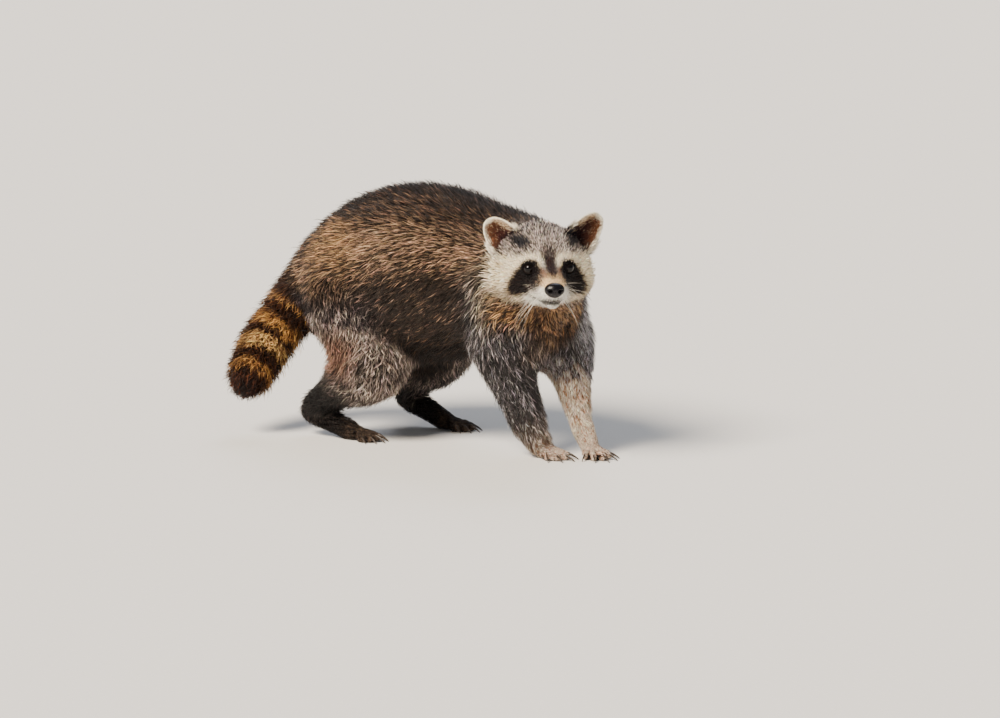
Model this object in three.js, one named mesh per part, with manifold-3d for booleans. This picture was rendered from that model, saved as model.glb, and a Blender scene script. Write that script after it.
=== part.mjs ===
// A raccoon at life size, in one still pose: walking, with its neck and head turned to its right.
// The outer shape is that of the coat. Body, limbs and head are cut from one smooth field of
// tapers and lobes; feet, claws, ears, eyes and nose are solids of their own, set into them.
// Millimetres, +Z up, +X towards the chest, +Y towards the animal's left. The floor is z = 0.
import * as THREE from "three";
import Module from "manifold-3d";

const wasm = await Module();
wasm.setup();

const v = (x, y, z) => new THREE.Vector3(x, y, z);
const degrees = THREE.MathUtils.degToRad;

// ---- driving dimensions ----
const bodyLength = 330; // rump to shoulder, over the coat
const bodyWidth = 196;
const bodyDepth = 222;
const backHeight = 315; // floor to the top of the arched back
const headTurn = -48; // degrees about +Z, so to the animal's right
const eyeRadius = 8;
const eyeSpacing = 46;
const noseRadii = [9, 11.5, 9];
const earHeight = 55;
const earWidth = 43;
const earWall = 4;
const earSpacing = 69; // between the roots, which lie inside the head
const earLean = 31; // degrees, outwards
const clawRadius = 1.9;
const cutGap = 0.3; // left between neighbouring pieces

// edge lengths of the cells that each surface is built from, coarser along the bone
const cells = {
  trunk: v(30, 22, 22),
  neck: v(19, 19, 19),
  head: v(11, 11, 11),
  muzzle: v(7.5, 6, 6),
  foreleg: v(15, 13, 24),
  hindleg: v(21, 16, 19),
};

// ---- the skeleton: joints of the pose, and the coat's radius at each ----
const joint = {
  neckBase: v(88, -6, 212),
  head: v(160, -63, 236),
  right: {
    shoulder: v(84, -48, 196),
    elbow: v(96, -58, 128),
    wrist: v(132, -46, 34),
    palm: v(152, -48, 9),
    hip: v(-125, -44, 162),
    knee: v(-85, -64, 90),
    heel: v(-178, -62, 31),
    ball: v(-112, -66, 9),
  },
  left: {
    shoulder: v(98, 38, 192),
    elbow: v(126, 42, 124),
    wrist: v(174, -3, 42),
    palm: v(195, -14, 14),
    hip: v(-125, 44, 162),
    knee: v(-70, 60, 96),
    heel: v(-120, 58, 38),
    ball: v(-58, 58, 9),
  },
  tail: [v(-203, 0, 203), v(-237, -14, 147), v(-250, -54, 105), v(-243, -100, 71)],
};
const legRadius = { shoulder: 46, elbow: 34, hip: 60, knee: 42, heel: 17 };
const coatRadius = {
  right: { ...legRadius, wrist: 22 }, // long hair falls over this wrist
  left: { ...legRadius, wrist: 15 },
  tail: [36, 37, 36, 32],
};

// ---- field primitives: distance to the surface, negative inside ----
// a round bar between two points, whose radius changes evenly
const taper = (a, b, ra, rb) => {
  const bar = new THREE.Line3(a, b);
  const nearest = v(0, 0, 0);
  return (p) => {
    const t = bar.closestPointToPointParameter(p, true);
    return p.distanceTo(bar.at(t, nearest)) - THREE.MathUtils.lerp(ra, rb, t);
  };
};
// an ellipsoid with its radii along the axes of a turned frame
const lobe = (centre, radii, turn = new THREE.Matrix4()) => {
  const toLocal = turn.clone().setPosition(centre).invert();
  return (p) => {
    const q = p.clone().applyMatrix4(toLocal).divide(radii);
    const k = q.length();
    return (k * (k - 1)) / Math.max(q.divide(radii).length(), 1e-6);
  };
};
// the union of two distances, with a fillet of the given softness
const blend = (a, b, soft) => {
  const h = Math.max(soft - Math.abs(a - b), 0) / soft;
  return Math.min(a, b) - (h * h * soft) / 4;
};
const blended = (soft, shapes) => (p) => shapes.reduce((d, shape) => blend(d, shape(p), soft), 1e3);

// ---- the head, in its own frame: x forward, y left, z up ----
const headTurned = new THREE.Matrix4().makeRotationZ(degrees(headTurn));
const headFrame = headTurned.clone().setPosition(joint.head);
const onHead = (x, y, z) => v(x, y, z).applyMatrix4(headFrame);
const headLobe = (x, y, z, rx, ry, rz) => lobe(onHead(x, y, z), v(rx, ry, rz), headTurned);
const pair = (make) => [make(1), make(-1)];
const skull = blended(16, [
  headLobe(-13, 0, 2, 46, 50, 43), // cranium
  headLobe(7, 0, 9, 34, 34, 29), // forehead
  ...pair((side) => headLobe(-2, side * 34, -15, 37, 33, 33)), // cheek ruffs
  ...pair((side) => headLobe(31, side * 20, 8, 14, 13, 10)), // brows
  headLobe(18, 0, -25, 38, 27, 19), // jaw
]);
const muzzle = blended(9, [
  taper(onHead(30, 0, -11), onHead(73, 0, -18), 22, 12.5),
  taper(onHead(26, 0, 5), onHead(62, 0, -9), 17, 11), // bridge of the nose
  ...pair((side) => headLobe(57, side * 10, -22, 18, 12, 11)), // whisker pads
  taper(onHead(36, 0, -31), onHead(67, 0, -35), 15, 9), // chin
]);
const head = (p) => blend(skull(p), muzzle(p), 12);

// ---- trunk, neck, tail and legs ----
const trunk = blended(30, [
  lobe(v(-45, 0, backHeight - bodyDepth / 2), v(bodyLength / 2, bodyWidth / 2, bodyDepth / 2)),
  lobe(v(-140, 0, 178), v(78, 80, 86)), // rump
  lobe(v(96, -8, 172), v(64, 64, 76)), // chest
]);
const neck = blended(24, [
  taper(joint.neckBase, joint.neckBase.clone().lerp(joint.head, 0.72), 74, 58),
  lobe(v(138, -38, 184), v(46, 48, 46)), // throat
]);
const tail = blended(8, [0, 1, 2].map((i) => {
  return taper(joint.tail[i], joint.tail[i + 1], coatRadius.tail[i], coatRadius.tail[i + 1]);
}));
const leg = (names) => (side) => blended(12, [0, 1].map((i) => {
  const [from, to] = [names[i], names[i + 1]];
  return taper(joint[side][from], joint[side][to], coatRadius[side][from], coatRadius[side][to]);
}));
const foreleg = leg(["shoulder", "elbow", "wrist"]);
const hindleg = leg(["hip", "knee", "heel"]);

const torso = (p) => blend(trunk(p), neck(p), 34);
const rootedTail = (p) => blend(torso(p), tail(p), 24);
const legs = ["right", "left"].flatMap((side) => [foreleg(side), hindleg(side)]);
// Legs, tail and head each have a fillet to the torso, but none to one another.
const coatSurface = (p) => {
  const body = torso(p);
  const limbs = legs.map((field) => blend(body, field(p), 24));
  return Math.min(blend(body, head(p), 18), rootedTail(p), ...limbs);
};

// ---- solids ----
const solidOf = (positions, triangles) => {
  const vertProperties = Float32Array.from(positions);
  const triVerts = Uint32Array.from(triangles);
  return new wasm.Manifold(new wasm.Mesh({ numProp: 3, vertProperties, triVerts }));
};
// a closed three.js geometry, with its doubled vertices merged and its flat triangles dropped
const solidFrom = (geometry) => {
  const place = geometry.getAttribute("position");
  const index = geometry.index ? geometry.index.array : [...Array(place.count).keys()];
  const known = new Map();
  const positions = [];
  const merged = Array.from(index, (i) => {
    const point = [place.getX(i), place.getY(i), place.getZ(i)];
    const key = point.map((x) => Math.round(x * 1e4)).join();
    if (!known.has(key)) {
      known.set(key, known.size);
      positions.push(...point);
    }
    return known.get(key);
  });
  const triangles = [];
  for (let i = 0; i < merged.length; i += 3) {
    const [a, b, c] = merged.slice(i, i + 3);
    if (a !== b && b !== c && c !== a) triangles.push(a, b, c);
  }
  return solidOf(positions, triangles);
};
const union = (solids) => solids.reduce((all, solid) => all.add(solid));

// the field's gradient at a point
const slope = (p) => {
  const along = (step) => (coatSurface(p.clone().add(step)) - coatSurface(p.clone().sub(step))) / 2;
  return v(along(v(1, 0, 0)), along(v(0, 1, 0)), along(v(0, 0, 1)));
};
// a point moved on to the coat's surface, where it is within reach
const settled = (point, reach) => {
  const d = coatSurface(point);
  const uphill = slope(point);
  return Math.abs(d) < reach ? point.clone().addScaledVector(uphill, -d / uphill.lengthSq()) : null;
};

// Surface nets: one vertex in each cell that the surface crosses, at the mean of its crossings, and
// one quad round each grid edge that the surface crosses, folded along the diagonal that lies nearer
// to the surface. `box` is in the frame's own coordinates.
const netOf = (box, step, frame = new THREE.Matrix4()) => {
  const count = box.getSize(v(0, 0, 0)).divide(step).ceil().addScalar(1);
  const stride = [1, count.x, count.x * count.y];
  const at = (cell) => cell[0] * stride[0] + cell[1] * stride[1] + cell[2] * stride[2];
  const local = (i, j, k) => v(i, j, k).multiply(step).add(box.min);
  const isRim = (i, n) => i === 0 || i === n - 1;
  const distance = new Float32Array(count.x * count.y * count.z);
  const eachSample = (act) => {
    for (let k = 0; k < count.z; k++) {
      for (let j = 0; j < count.y; j++) {
        for (let i = 0; i < count.x; i++) act([i, j, k]);
      }
    }
  };
  eachSample(([i, j, k]) => {
    const d = coatSurface(local(i, j, k).applyMatrix4(frame));
    const rim = isRim(i, count.x) || isRim(j, count.y) || isRim(k, count.z);
    distance[at([i, j, k])] = rim ? Math.max(d, 1) : d;
  });
  const crosses = (a, b) => distance[a] < 0 !== distance[b] < 0;
  const cellVertices = new Map();
  const positions = [];
  const vertexIn = (cell) => {
    if (cellVertices.has(at(cell))) return cellVertices.get(at(cell));
    const sum = v(0, 0, 0);
    let crossings = 0;
    for (let edge = 0; edge < 12; edge++) {
      const axis = edge % 3;
      const start = [...cell];
      start[(axis + 1) % 3] += Math.floor(edge / 3) & 1;
      start[(axis + 2) % 3] += Math.floor(edge / 6);
      const a = at(start);
      const b = a + stride[axis];
      if (!crosses(a, b)) continue;
      start[axis] += distance[a] / (distance[a] - distance[b]);
      sum.add(v(...start));
      crossings += 1;
    }
    const mean = sum.divideScalar(crossings);
    const point = local(mean.x, mean.y, mean.z).applyMatrix4(frame);
    positions.push(...(settled(point, 0.3 * step.y) ?? point).toArray());
    cellVertices.set(at(cell), cellVertices.size);
    return cellVertices.size - 1;
  };
  const vertex = (i) => v(...positions.slice(3 * i, 3 * i + 3));
  const offAt = (a, b) => Math.abs(coatSurface(vertex(a).lerp(vertex(b), 0.5)));
  const triangles = [];
  eachSample((cell) => {
    for (let axis = 0; axis < 3; axis++) {
      const a = at(cell);
      if (cell[axis] === count.getComponent(axis) - 1 || !crosses(a, a + stride[axis])) continue;
      const around = [[1, 1], [0, 1], [0, 0], [1, 0]].map(([s, t]) => {
        const neighbour = [...cell];
        neighbour[(axis + 1) % 3] -= s;
        neighbour[(axis + 2) % 3] -= t;
        return vertexIn(neighbour);
      });
      const [p, q, r, s] = distance[a] < 0 ? around : around.reverse();
      const [foldPR, foldQS] = [offAt(p, r), offAt(q, s)];
      if (foldPR < foldQS) triangles.push(p, q, r, p, r, s);
      else triangles.push(q, r, s, q, s, p);
    }
  });
  return solidOf(positions, triangles);
};

// Rings of points on a field's surface, each found along a ray that leaves the curve square to it.
const sleeveOf = (field, curve, rings, around, furthest) => {
  const frames = curve.computeFrenetFrames(rings);
  const positions = [];
  const onSurface = (centre, ray) => {
    let [near, far] = [0, furthest];
    for (let halving = 0; halving < 16; halving++) {
      const middle = (near + far) / 2;
      if (field(centre.clone().addScaledVector(ray, middle)) < 0) near = middle;
      else far = middle;
    }
    return centre.clone().addScaledVector(ray, near);
  };
  for (let ring = 0; ring <= rings; ring++) {
    const centre = curve.getPointAt(ring / rings);
    for (let i = 0; i < around; i++) {
      const turn = (2 * Math.PI * i) / around;
      const ray = frames.normals[ring].clone().multiplyScalar(Math.cos(turn));
      ray.addScaledVector(frames.binormals[ring], Math.sin(turn));
      positions.push(...onSurface(centre, ray).toArray());
    }
  }
  const triangles = [];
  for (let ring = 0; ring < rings; ring++) {
    for (let i = 0; i < around; i++) {
      const a = ring * around + i;
      const b = ring * around + ((i + 1) % around);
      triangles.push(a, b, b + around, a, b + around, a + around);
    }
  }
  for (let i = 1; i < around - 1; i++) {
    const last = rings * around;
    triangles.push(0, i + 1, i, last, last + i, last + i + 1);
  }
  return solidOf(positions, triangles);
};

// a block from corner to corner, in a frame of its own, grown by `extra` on every side
const blockOf = (low, high, extra, frame = new THREE.Matrix4()) => {
  const size = v(...high).sub(v(...low)).addScalar(2 * extra);
  const middle = v(...low).add(v(...high)).multiplyScalar(0.5);
  const geometry = new THREE.BoxGeometry(...size.toArray()).translate(...middle.toArray());
  return solidFrom(geometry.applyMatrix4(frame));
};
// what lies behind a plane, less half of the gap between neighbours
const behind = (solid, plane) => {
  return solid.trimByPlane(plane.normal.clone().negate().toArray(), plane.constant + cutGap / 2);
};
const ahead = (solid, plane) => behind(solid, plane.clone().negate());
// the plane through a joint that halves the bend of the bones on either side
const bendPlane = (from, at, to) => {
  const onward = at.clone().sub(from).normalize().add(to.clone().sub(at).normalize());
  return new THREE.Plane().setFromNormalAndCoplanarPoint(onward.normalize(), at);
};
const largest = (solid) => {
  return solid.decompose().reduce((best, body) => (body.volume() > best.volume() ? body : best));
};

// a bar with round ends, turned on a lathe and laid between two points
const podOf = (a, b, ra, rb, around = 8, endRings = 2) => {
  const length = a.distanceTo(b);
  const profile = [];
  for (let i = 0; i <= endRings; i++) {
    const turn = (Math.PI / 2) * (i / endRings);
    profile.push(new THREE.Vector2(ra * Math.sin(turn), -ra * Math.cos(turn)));
  }
  for (let i = 0; i <= endRings; i++) {
    const turn = (Math.PI / 2) * (i / endRings);
    profile.push(new THREE.Vector2(i === endRings ? 0 : rb * Math.cos(turn), length + rb * Math.sin(turn)));
  }
  const turn = new THREE.Quaternion().setFromUnitVectors(v(0, 1, 0), b.clone().sub(a).normalize());
  const placed = new THREE.Matrix4().compose(a, turn, v(1, 1, 1));
  return solidFrom(new THREE.LatheGeometry(profile, around).applyMatrix4(placed));
};
const ovalOf = (radii, frame, around = 12, rings = 8) => {
  const ball = new THREE.SphereGeometry(1, around, rings).scale(...radii);
  return solidFrom(ball.applyMatrix4(frame));
};

// ---- colours and finishes ----
const finish = (color, roughness = 0.85) => {
  return new THREE.MeshStandardMaterial({ color, roughness, metalness: 0 });
};
const coat = {
  trunk: finish(0x6b5643),
  neck: finish(0x84705c),
  head: finish(0xb9ab97),
  leg: finish(0x75675a),
  foreFoot: finish(0xb39a7c),
  hindFoot: finish(0x4c4038),
  tail: finish(0x7d5a38),
  ear: finish(0x8b6d57),
};
const horn = finish(0x2b221d, 0.4);
const wetLeather = finish(0x15131a, 0.3);
const eyeball = finish(0x120d0b, 0.08);

const raccoon = new THREE.Group();
const add = (name, solid, material) => {
  const mesh = solid.getMesh();
  const geometry = new THREE.BufferGeometry();
  geometry.setAttribute("position", new THREE.BufferAttribute(mesh.vertProperties, 3));
  geometry.setIndex(new THREE.BufferAttribute(mesh.triVerts, 1));
  geometry.computeVertexNormals();
  const made = new THREE.Mesh(geometry, material);
  made.name = name;
  raccoon.add(made);
};

// ---- where the body is parted ----
// Each cutter is made once at its size, for the piece, and once grown by the gap, for what is left.
const headCutter = (extra) => blockOf([-34, -110, -58], [125, 110, 110], extra, headFrame);
const neckCutter = (extra) => {
  const along = joint.head.clone().sub(joint.neckBase);
  const turned = new THREE.Matrix4().makeRotationZ(Math.atan2(along.y, along.x));
  return blockOf([14, -110, -78], [150, 110, 110], extra, turned.setPosition(joint.neckBase));
};
const tailCutter = (extra) => {
  const tailward = v(-0.9, -0.2, -0.38).normalize();
  const turn = new THREE.Quaternion().setFromUnitVectors(v(1, 0, 0), tailward);
  const frame = new THREE.Matrix4().compose(v(-202, 0, 160), turn, v(1, 1, 1));
  return blockOf([0, -160, -160], [140, 160, 160], extra, frame);
};
// a leg's cutter is a prism along X, whose top slopes up from the groin to the flank
const legCutter = (from, to, groin, flank) => (extra) => {
  const outward = Math.sign(flank[0] - groin[0]);
  const inner = groin[0] - outward * extra;
  const outer = flank[0] + outward * extra;
  const section = new THREE.Shape();
  section.moveTo(inner, -20);
  section.lineTo(inner, groin[1] + extra);
  section.lineTo(outer, flank[1] + extra);
  section.lineTo(outer, -20);
  const prism = new THREE.ExtrudeGeometry(section, { depth: to - from + 2 * extra, bevelEnabled: false });
  const upright = new THREE.Matrix4().makeBasis(v(0, 1, 0), v(0, 0, 1), v(1, 0, 0));
  return solidFrom(prism.applyMatrix4(upright.setPosition(from - extra, 0, 0)));
};
const cutters = {
  head: headCutter,
  neck: neckCutter,
  tail: tailCutter,
  rightHindleg: legCutter(-196, -28, [-14, 118], [-130, 196]),
  leftHindleg: legCutter(-196, -14, [14, 118], [130, 196]),
  rightForeleg: legCutter(38, 156, [-18, 122], [-120, 186]),
  leftForeleg: legCutter(62, 225, [-22, 112], [120, 188]),
};
const less = (solid, names) => names.reduce((left, name) => left.subtract(cutters[name](cutGap)), solid);
const box = (low, high) => new THREE.Box3(v(...low), v(...high));

// ---- eyes, nose and ears: each made at its size, and once grown for its socket ----
const eyeOf = (side) => (extra) => {
  const place = new THREE.Matrix4().setPosition(onHead(40, (side * eyeSpacing) / 2, 1));
  return ovalOf(Array(3).fill(eyeRadius + extra), place, 10, 7);
};
const noseOf = (extra) => {
  const place = headFrame.clone().multiply(new THREE.Matrix4().setPosition(82, 0, -19.5));
  return ovalOf(noseRadii.map((radius) => radius + extra), place, 10, 7);
};
// A cupped shell: each level is a crescent, open to the front and narrowing to a round tip.
const earOf = (side) => (extra) => {
  const levels = 6;
  const across = 6;
  const ring = 2 * (across + 1);
  const spread = new THREE.Euler(degrees(side * -earLean), degrees(-6), degrees(side * 14));
  const root = new THREE.Matrix4().makeRotationFromEuler(spread);
  root.setPosition(2, (side * earSpacing) / 2, 13.6);
  const place = headFrame.clone().multiply(root);
  const positions = [];
  for (let level = 0; level <= levels; level++) {
    const t = Math.sin((Math.PI / 2) * (level / levels));
    const half = (earWidth / 2) * Math.sqrt(1 - 0.97 * t ** 2.3);
    const middle = side * (5.5 * t - 1.4); // the outer edge is the fuller one
    const cup = half * (0.75 - 0.4 * t);
    for (let i = 0; i < ring; i++) {
      const isBack = i <= across;
      const turn = (Math.PI * (isBack ? i : ring - 1 - i)) / across;
      const hollow = -cup * Math.sin(turn) ** 2 - 6 * t;
      const wall = earWall * (0.35 + 0.65 * Math.sin(turn));
      const x = isBack ? hollow - wall - extra : hollow + 3 * extra;
      const y = middle + (half + extra) * Math.cos(turn);
      positions.push(...v(x, y, (earHeight + extra) * t - extra).applyMatrix4(place).toArray());
    }
  }
  const triangles = [];
  for (let level = 0; level < levels; level++) {
    for (let i = 0; i < ring; i++) {
      const a = level * ring + i;
      const b = level * ring + ((i + 1) % ring);
      triangles.push(a, b, b + ring, a, b + ring, a + ring);
    }
  }
  for (let i = 0; i < across; i++) {
    const [a, b, c, d] = [i, i + 1, ring - 2 - i, ring - 1 - i];
    const top = levels * ring;
    triangles.push(d, c, b, d, b, a);
    triangles.push(top + a, top + b, top + c, top + a, top + c, top + d);
  }
  return solidOf(positions, triangles);
};

const setIn = (solid, parts) => parts.reduce((left, part) => left.subtract(part(cutGap)), solid);

// ---- head, with the nose, eyes and ears set into it and a lower jaw ----
const sides = { right: -1, left: 1 };
const eyes = { right: eyeOf(-1), left: eyeOf(1) };
const ears = { right: earOf(-1), left: earOf(1) };
const forward = v(1, 0, 0).transformDirection(headFrame);
const muzzleRoot = new THREE.Plane().setFromNormalAndCoplanarPoint(forward, onHead(50, 0, 0));
const jawBlock = (extra) => blockOf([40, -40, -60], [110, 40, -34.5], extra, headFrame);
const inHead = (region, step) => netOf(region, step, headFrame).intersect(cutters.head(0));
const headNet = inHead(box([-64, -100, -80], [76, 100, 80]), cells.head);
const muzzleNet = inHead(box([36, -44, -66], [99, 44, 33]), cells.muzzle);
const faceParts = [...Object.values(eyes), ...Object.values(ears)];
add("head", setIn(largest(behind(headNet, muzzleRoot)), faceParts), coat.head);
const muzzleMass = setIn(largest(ahead(muzzleNet, muzzleRoot)), [noseOf]);
add("muzzle", largest(muzzleMass.subtract(jawBlock(cutGap))), coat.head);
add("lower_jaw", largest(muzzleMass.intersect(jawBlock(0))), coat.head);
add("nose", noseOf(0), wetLeather);
for (const side of Object.keys(sides)) {
  add(`eye_${side}`, eyes[side](0), eyeball);
  add(`ear_${side}`, ears[side](0), coat.ear);
}

// ---- feet: a sole, a pad and five toes, each with its claw ----
// Lengths are in mm and angles in degrees, outer toe first on the animal's right.
const feetKinds = {
  fore: { pad: 12, toe: 5.6, toes: [22, 29, 32, 29, 23], fan: [-44, -21, 0, 20, 42], claw: 9 },
  hind: { pad: 12.5, toe: 5.6, toes: [26, 33, 36, 34, 29], fan: [-30, -15, 0, 14, 28], claw: 7 },
};
const footOf = (kind, ankle, ball, ankleRadius) => {
  const { pad, toe, toes, fan, claw } = feetKinds[kind];
  const heading = Math.atan2(ball.y - ankle.y, ball.x - ankle.x);
  const frame = new THREE.Matrix4().makeRotationZ(heading).setPosition(ball);
  const onFoot = (reach, angle, z) => {
    const a = degrees(angle);
    return v(reach * Math.cos(a), reach * Math.sin(a), z).applyMatrix4(frame);
  };
  const floor = -ball.z;
  const tips = toes.map((reach, i) => onFoot(reach, fan[i], floor + toe - 1.3));
  const claws = tips.map((tip, i) => (extra) => {
    const root = onFoot(toes[i] + toe * 0.3, fan[i], floor + toe + 0.5);
    const point = onFoot(toes[i] + toe + claw - 2, fan[i], floor + 1.4);
    return podOf(root, point, clawRadius + extra, 0.6 + extra, 5, 1);
  });
  const toeBars = tips.map((tip, i) => {
    return podOf(onFoot(toes[i] * 0.3, fan[i] * 1.4, floor + 9), tip, toe + 1.2, toe, 6, 1);
  });
  const flesh = union([podOf(ankle, ball, ankleRadius, pad, 8, 2), ...toeBars]);
  return { flesh: flesh.trimByPlane([0, 0, 1], 0), claws };
};

// ---- legs ----
const footJoints = {
  fore: { names: ["shoulder", "elbow", "wrist", "palm"], pieces: ["upper_arm", "forearm", "forefoot"] },
  hind: { names: ["hip", "knee", "heel", "ball"], pieces: ["thigh", "shank", "hindfoot"] },
};
const addLeg = (side, kind, cutter, region, earlier) => {
  const { names, pieces } = footJoints[kind];
  const [top, middle, ankle, ball] = names.map((name) => joint[side][name]);
  const knee = bendPlane(top, middle, ankle);
  const heel = bendPlane(middle, ankle, ball);
  const leg = less(netOf(region, cells[`${kind}leg`]).intersect(cutters[cutter](0)), earlier);
  add(`${pieces[0]}_${side}`, largest(behind(leg, knee)), coat.leg);
  add(`${pieces[1]}_${side}`, largest(ahead(behind(leg, heel), knee)), coat.leg);
  const { flesh, claws } = footOf(kind, ankle, ball, coatRadius[side][names[2]]);
  const foot = setIn(ahead(flesh, heel), claws);
  add(`${pieces[2]}_${side}`, largest(foot), coat[`${kind}Foot`]);
  claws.forEach((claw, i) => add(`claw_${kind}_${side}_${i + 1}`, claw(0), horn));
};
addLeg("right", "fore", "rightForeleg", box([24, -123, -6], [166, 10, 200]), []);
addLeg("left", "fore", "leftForeleg", box([56, -51, -6], [236, 130, 200]), ["rightForeleg"]);
addLeg("right", "hind", "rightHindleg", box([-215, -140, -6], [-14, 8, 210]), []);
addLeg("left", "hind", "leftHindleg", box([-215, -8, -6], [0, 140, 210]), ["rightHindleg"]);

// ---- tail, in four lengths ----
const tailTip = joint.tail[3].clone().sub(joint.tail[2]).setLength(coatRadius.tail[3] - 1.5);
const tailLine = new THREE.CatmullRomCurve3([...joint.tail, joint.tail[3].clone().add(tailTip)]);
const tailSleeve = sleeveOf(rootedTail, tailLine, 13, 14, 41);
const tailMass = less(tailSleeve.intersect(cutters.tail(0)), ["rightHindleg", "leftHindleg"]);
const tailCuts = [1, 2].map((i) => bendPlane(joint.tail[i - 1], joint.tail[i], joint.tail[i + 1]));
tailCuts.push(new THREE.Plane().setFromNormalAndCoplanarPoint(
  joint.tail[3].clone().sub(joint.tail[2]).normalize(),
  joint.tail[3],
));
let tailLeft = tailMass;
tailCuts.forEach((cut, i) => {
  add(`tail_${i + 1}`, largest(behind(tailLeft, cut)), coat.tail);
  tailLeft = ahead(tailLeft, cut);
});
add("tail_4", largest(tailLeft), coat.tail);

// ---- neck and trunk ----
const legNames = ["rightForeleg", "leftForeleg", "rightHindleg", "leftHindleg"];
const neckNet = netOf(box([15, -150, 90], [220, 95, 330]), cells.neck);
add("neck", largest(less(neckNet.intersect(cutters.neck(0)), ["head", ...legNames])), coat.neck);
const trunkNet = netOf(box([-245, -130, 60], [200, 130, 340]), cells.trunk);
add("trunk", largest(less(trunkNet, Object.keys(cutters))), coat.trunk);

raccoon.updateMatrixWorld(true);
const reach = new THREE.Box3().setFromObject(raccoon);
const centre = reach.getCenter(v(0, 0, 0));
raccoon.position.set(-centre.x, -centre.y, -reach.min.z);

export default raccoon;
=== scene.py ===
import math

import bmesh
import bpy
import numpy as np
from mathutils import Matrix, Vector


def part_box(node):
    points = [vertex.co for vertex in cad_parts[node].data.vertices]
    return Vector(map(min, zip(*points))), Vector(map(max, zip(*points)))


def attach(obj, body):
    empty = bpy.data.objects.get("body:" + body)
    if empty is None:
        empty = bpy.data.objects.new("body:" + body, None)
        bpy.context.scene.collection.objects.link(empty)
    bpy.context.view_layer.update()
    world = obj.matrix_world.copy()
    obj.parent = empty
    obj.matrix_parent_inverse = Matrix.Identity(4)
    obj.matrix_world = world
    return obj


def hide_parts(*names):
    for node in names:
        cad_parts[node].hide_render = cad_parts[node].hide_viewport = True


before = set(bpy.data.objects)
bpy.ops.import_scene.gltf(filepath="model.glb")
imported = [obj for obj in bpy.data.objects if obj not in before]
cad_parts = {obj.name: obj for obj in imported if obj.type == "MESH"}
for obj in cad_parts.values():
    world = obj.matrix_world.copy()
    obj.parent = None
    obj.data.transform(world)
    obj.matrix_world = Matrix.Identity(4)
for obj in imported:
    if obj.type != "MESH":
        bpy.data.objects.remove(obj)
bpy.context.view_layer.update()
mm = 0.001
chance = np.random.default_rng(7)


# small helpers: vectors, meshes and nodes
def unit(vectors):
    return vectors / np.maximum(np.linalg.norm(vectors, axis=-1, keepdims=True), 1e-9)


def dot(a, b):
    return (a * b).sum(-1, keepdims=True)


def ease(low, high, value):
    t = np.clip((value - low) / (high - low), 0, 1)  # rises smoothly from 0 at low to 1 at high
    return t * t * (3 - 2 * t)


def ovalDistance(points, centre, radii):
    # distance from a centre as a share of the radii
    return np.linalg.norm((points - np.array(centre)) / np.array(radii, float), axis=1)


def linear(hexColour):
    srgb = np.array([int(hexColour[i:i + 2], 16) for i in (1, 3, 5)]) / 255
    return np.where(srgb <= 0.04045, srgb / 12.92, ((srgb + 0.055) / 1.055) ** 2.4)


def rgba(hexColour):
    return (*linear(hexColour), 1.0)


def mix(a, b, share):
    share = np.asarray(share)
    share = share[:, None] if share.ndim else share
    return a + (b - a) * share


def bearing(azimuth, elevation):
    # direction at two angles in degrees: azimuth 0 is along -Y, 90 along +X
    a, e = math.radians(azimuth), math.radians(elevation)
    return np.array([math.sin(a) * math.cos(e), -math.cos(a) * math.cos(e), math.sin(e)])


def linked(name, data):
    thing = bpy.data.objects.new(name, data)
    bpy.context.scene.collection.objects.link(thing)
    return thing


def setFacing(thing, place, back):
    # at a place, with its own +Z along back, so that a camera or lamp looks the other way
    thing.location = place
    thing.rotation_euler = Vector(back).to_track_quat("Z", "Y").to_euler()


def readArray(items, what, width, kind=np.float32):
    values = np.empty(len(items) * width, kind)
    items.foreach_get(what, values)
    return values.reshape(-1, width)


def newPiece(name, points, faces, material):
    # faces is one array of triangles or of quads
    mesh = bpy.data.meshes.new(name)
    mesh.vertices.add(len(points))
    mesh.vertices.foreach_set("co", np.asarray(points, np.float32).ravel())
    mesh.loops.add(faces.size)
    mesh.loops.foreach_set("vertex_index", faces.astype(np.int32).ravel())
    mesh.polygons.add(len(faces))
    mesh.polygons.foreach_set("loop_start", np.arange(len(faces), dtype=np.int32) * faces.shape[1])
    mesh.update(calc_edges=True)
    mesh.polygons.foreach_set("use_smooth", np.full(len(faces), True))
    mesh.materials.append(material)
    piece = linked(name, mesh)
    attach(piece, "root")
    return piece


def paint(piece, name, colours):
    layer = piece.data.color_attributes.new(name, "FLOAT_COLOR", "POINT")
    layer.data.foreach_set("color", np.c_[colours, np.ones(len(colours))].astype(np.float32).ravel())


def addNode(tree, kind, settings=None, **links):
    # settings and links go by the socket's or the property's name, with _ for a space, or i and a number
    node = tree.nodes.new("ShaderNode" + kind)
    for key, value in (settings or {}).items():
        if key in node.inputs:
            node.inputs[key].default_value = value
        else:
            setattr(node, key, value)
    for key, source in links.items():
        socket = int(key[1:]) if key[1:].isdigit() else key.replace("_", " ")
        tree.links.new(source, node.inputs[socket])
    return node


def newMaterial(name):
    material = bpy.data.materials.new(name)
    material.use_nodes = True
    tree = material.node_tree
    tree.nodes.clear()
    return material, tree


def finishMaterial(tree, settings, **links):
    shader = addNode(tree, "BsdfPrincipled", settings, **links)
    addNode(tree, "OutputMaterial", Surface=shader.outputs[0])


def varied(tree, colour, grain, low, high):
    # a colour made darker and lighter by a grain, whose values lie mostly between 0.3 and 0.7
    reach = {"From Min": 0.3, "From Max": 0.7, "To Min": low, "To Max": high}
    tone = addNode(tree, "MapRange", reach, Value=grain)
    shade = addNode(tree, "VectorMath", {"operation": "SCALE"}, Vector=colour, Scale=tone.outputs[0])
    return shade.outputs[0]


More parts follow.
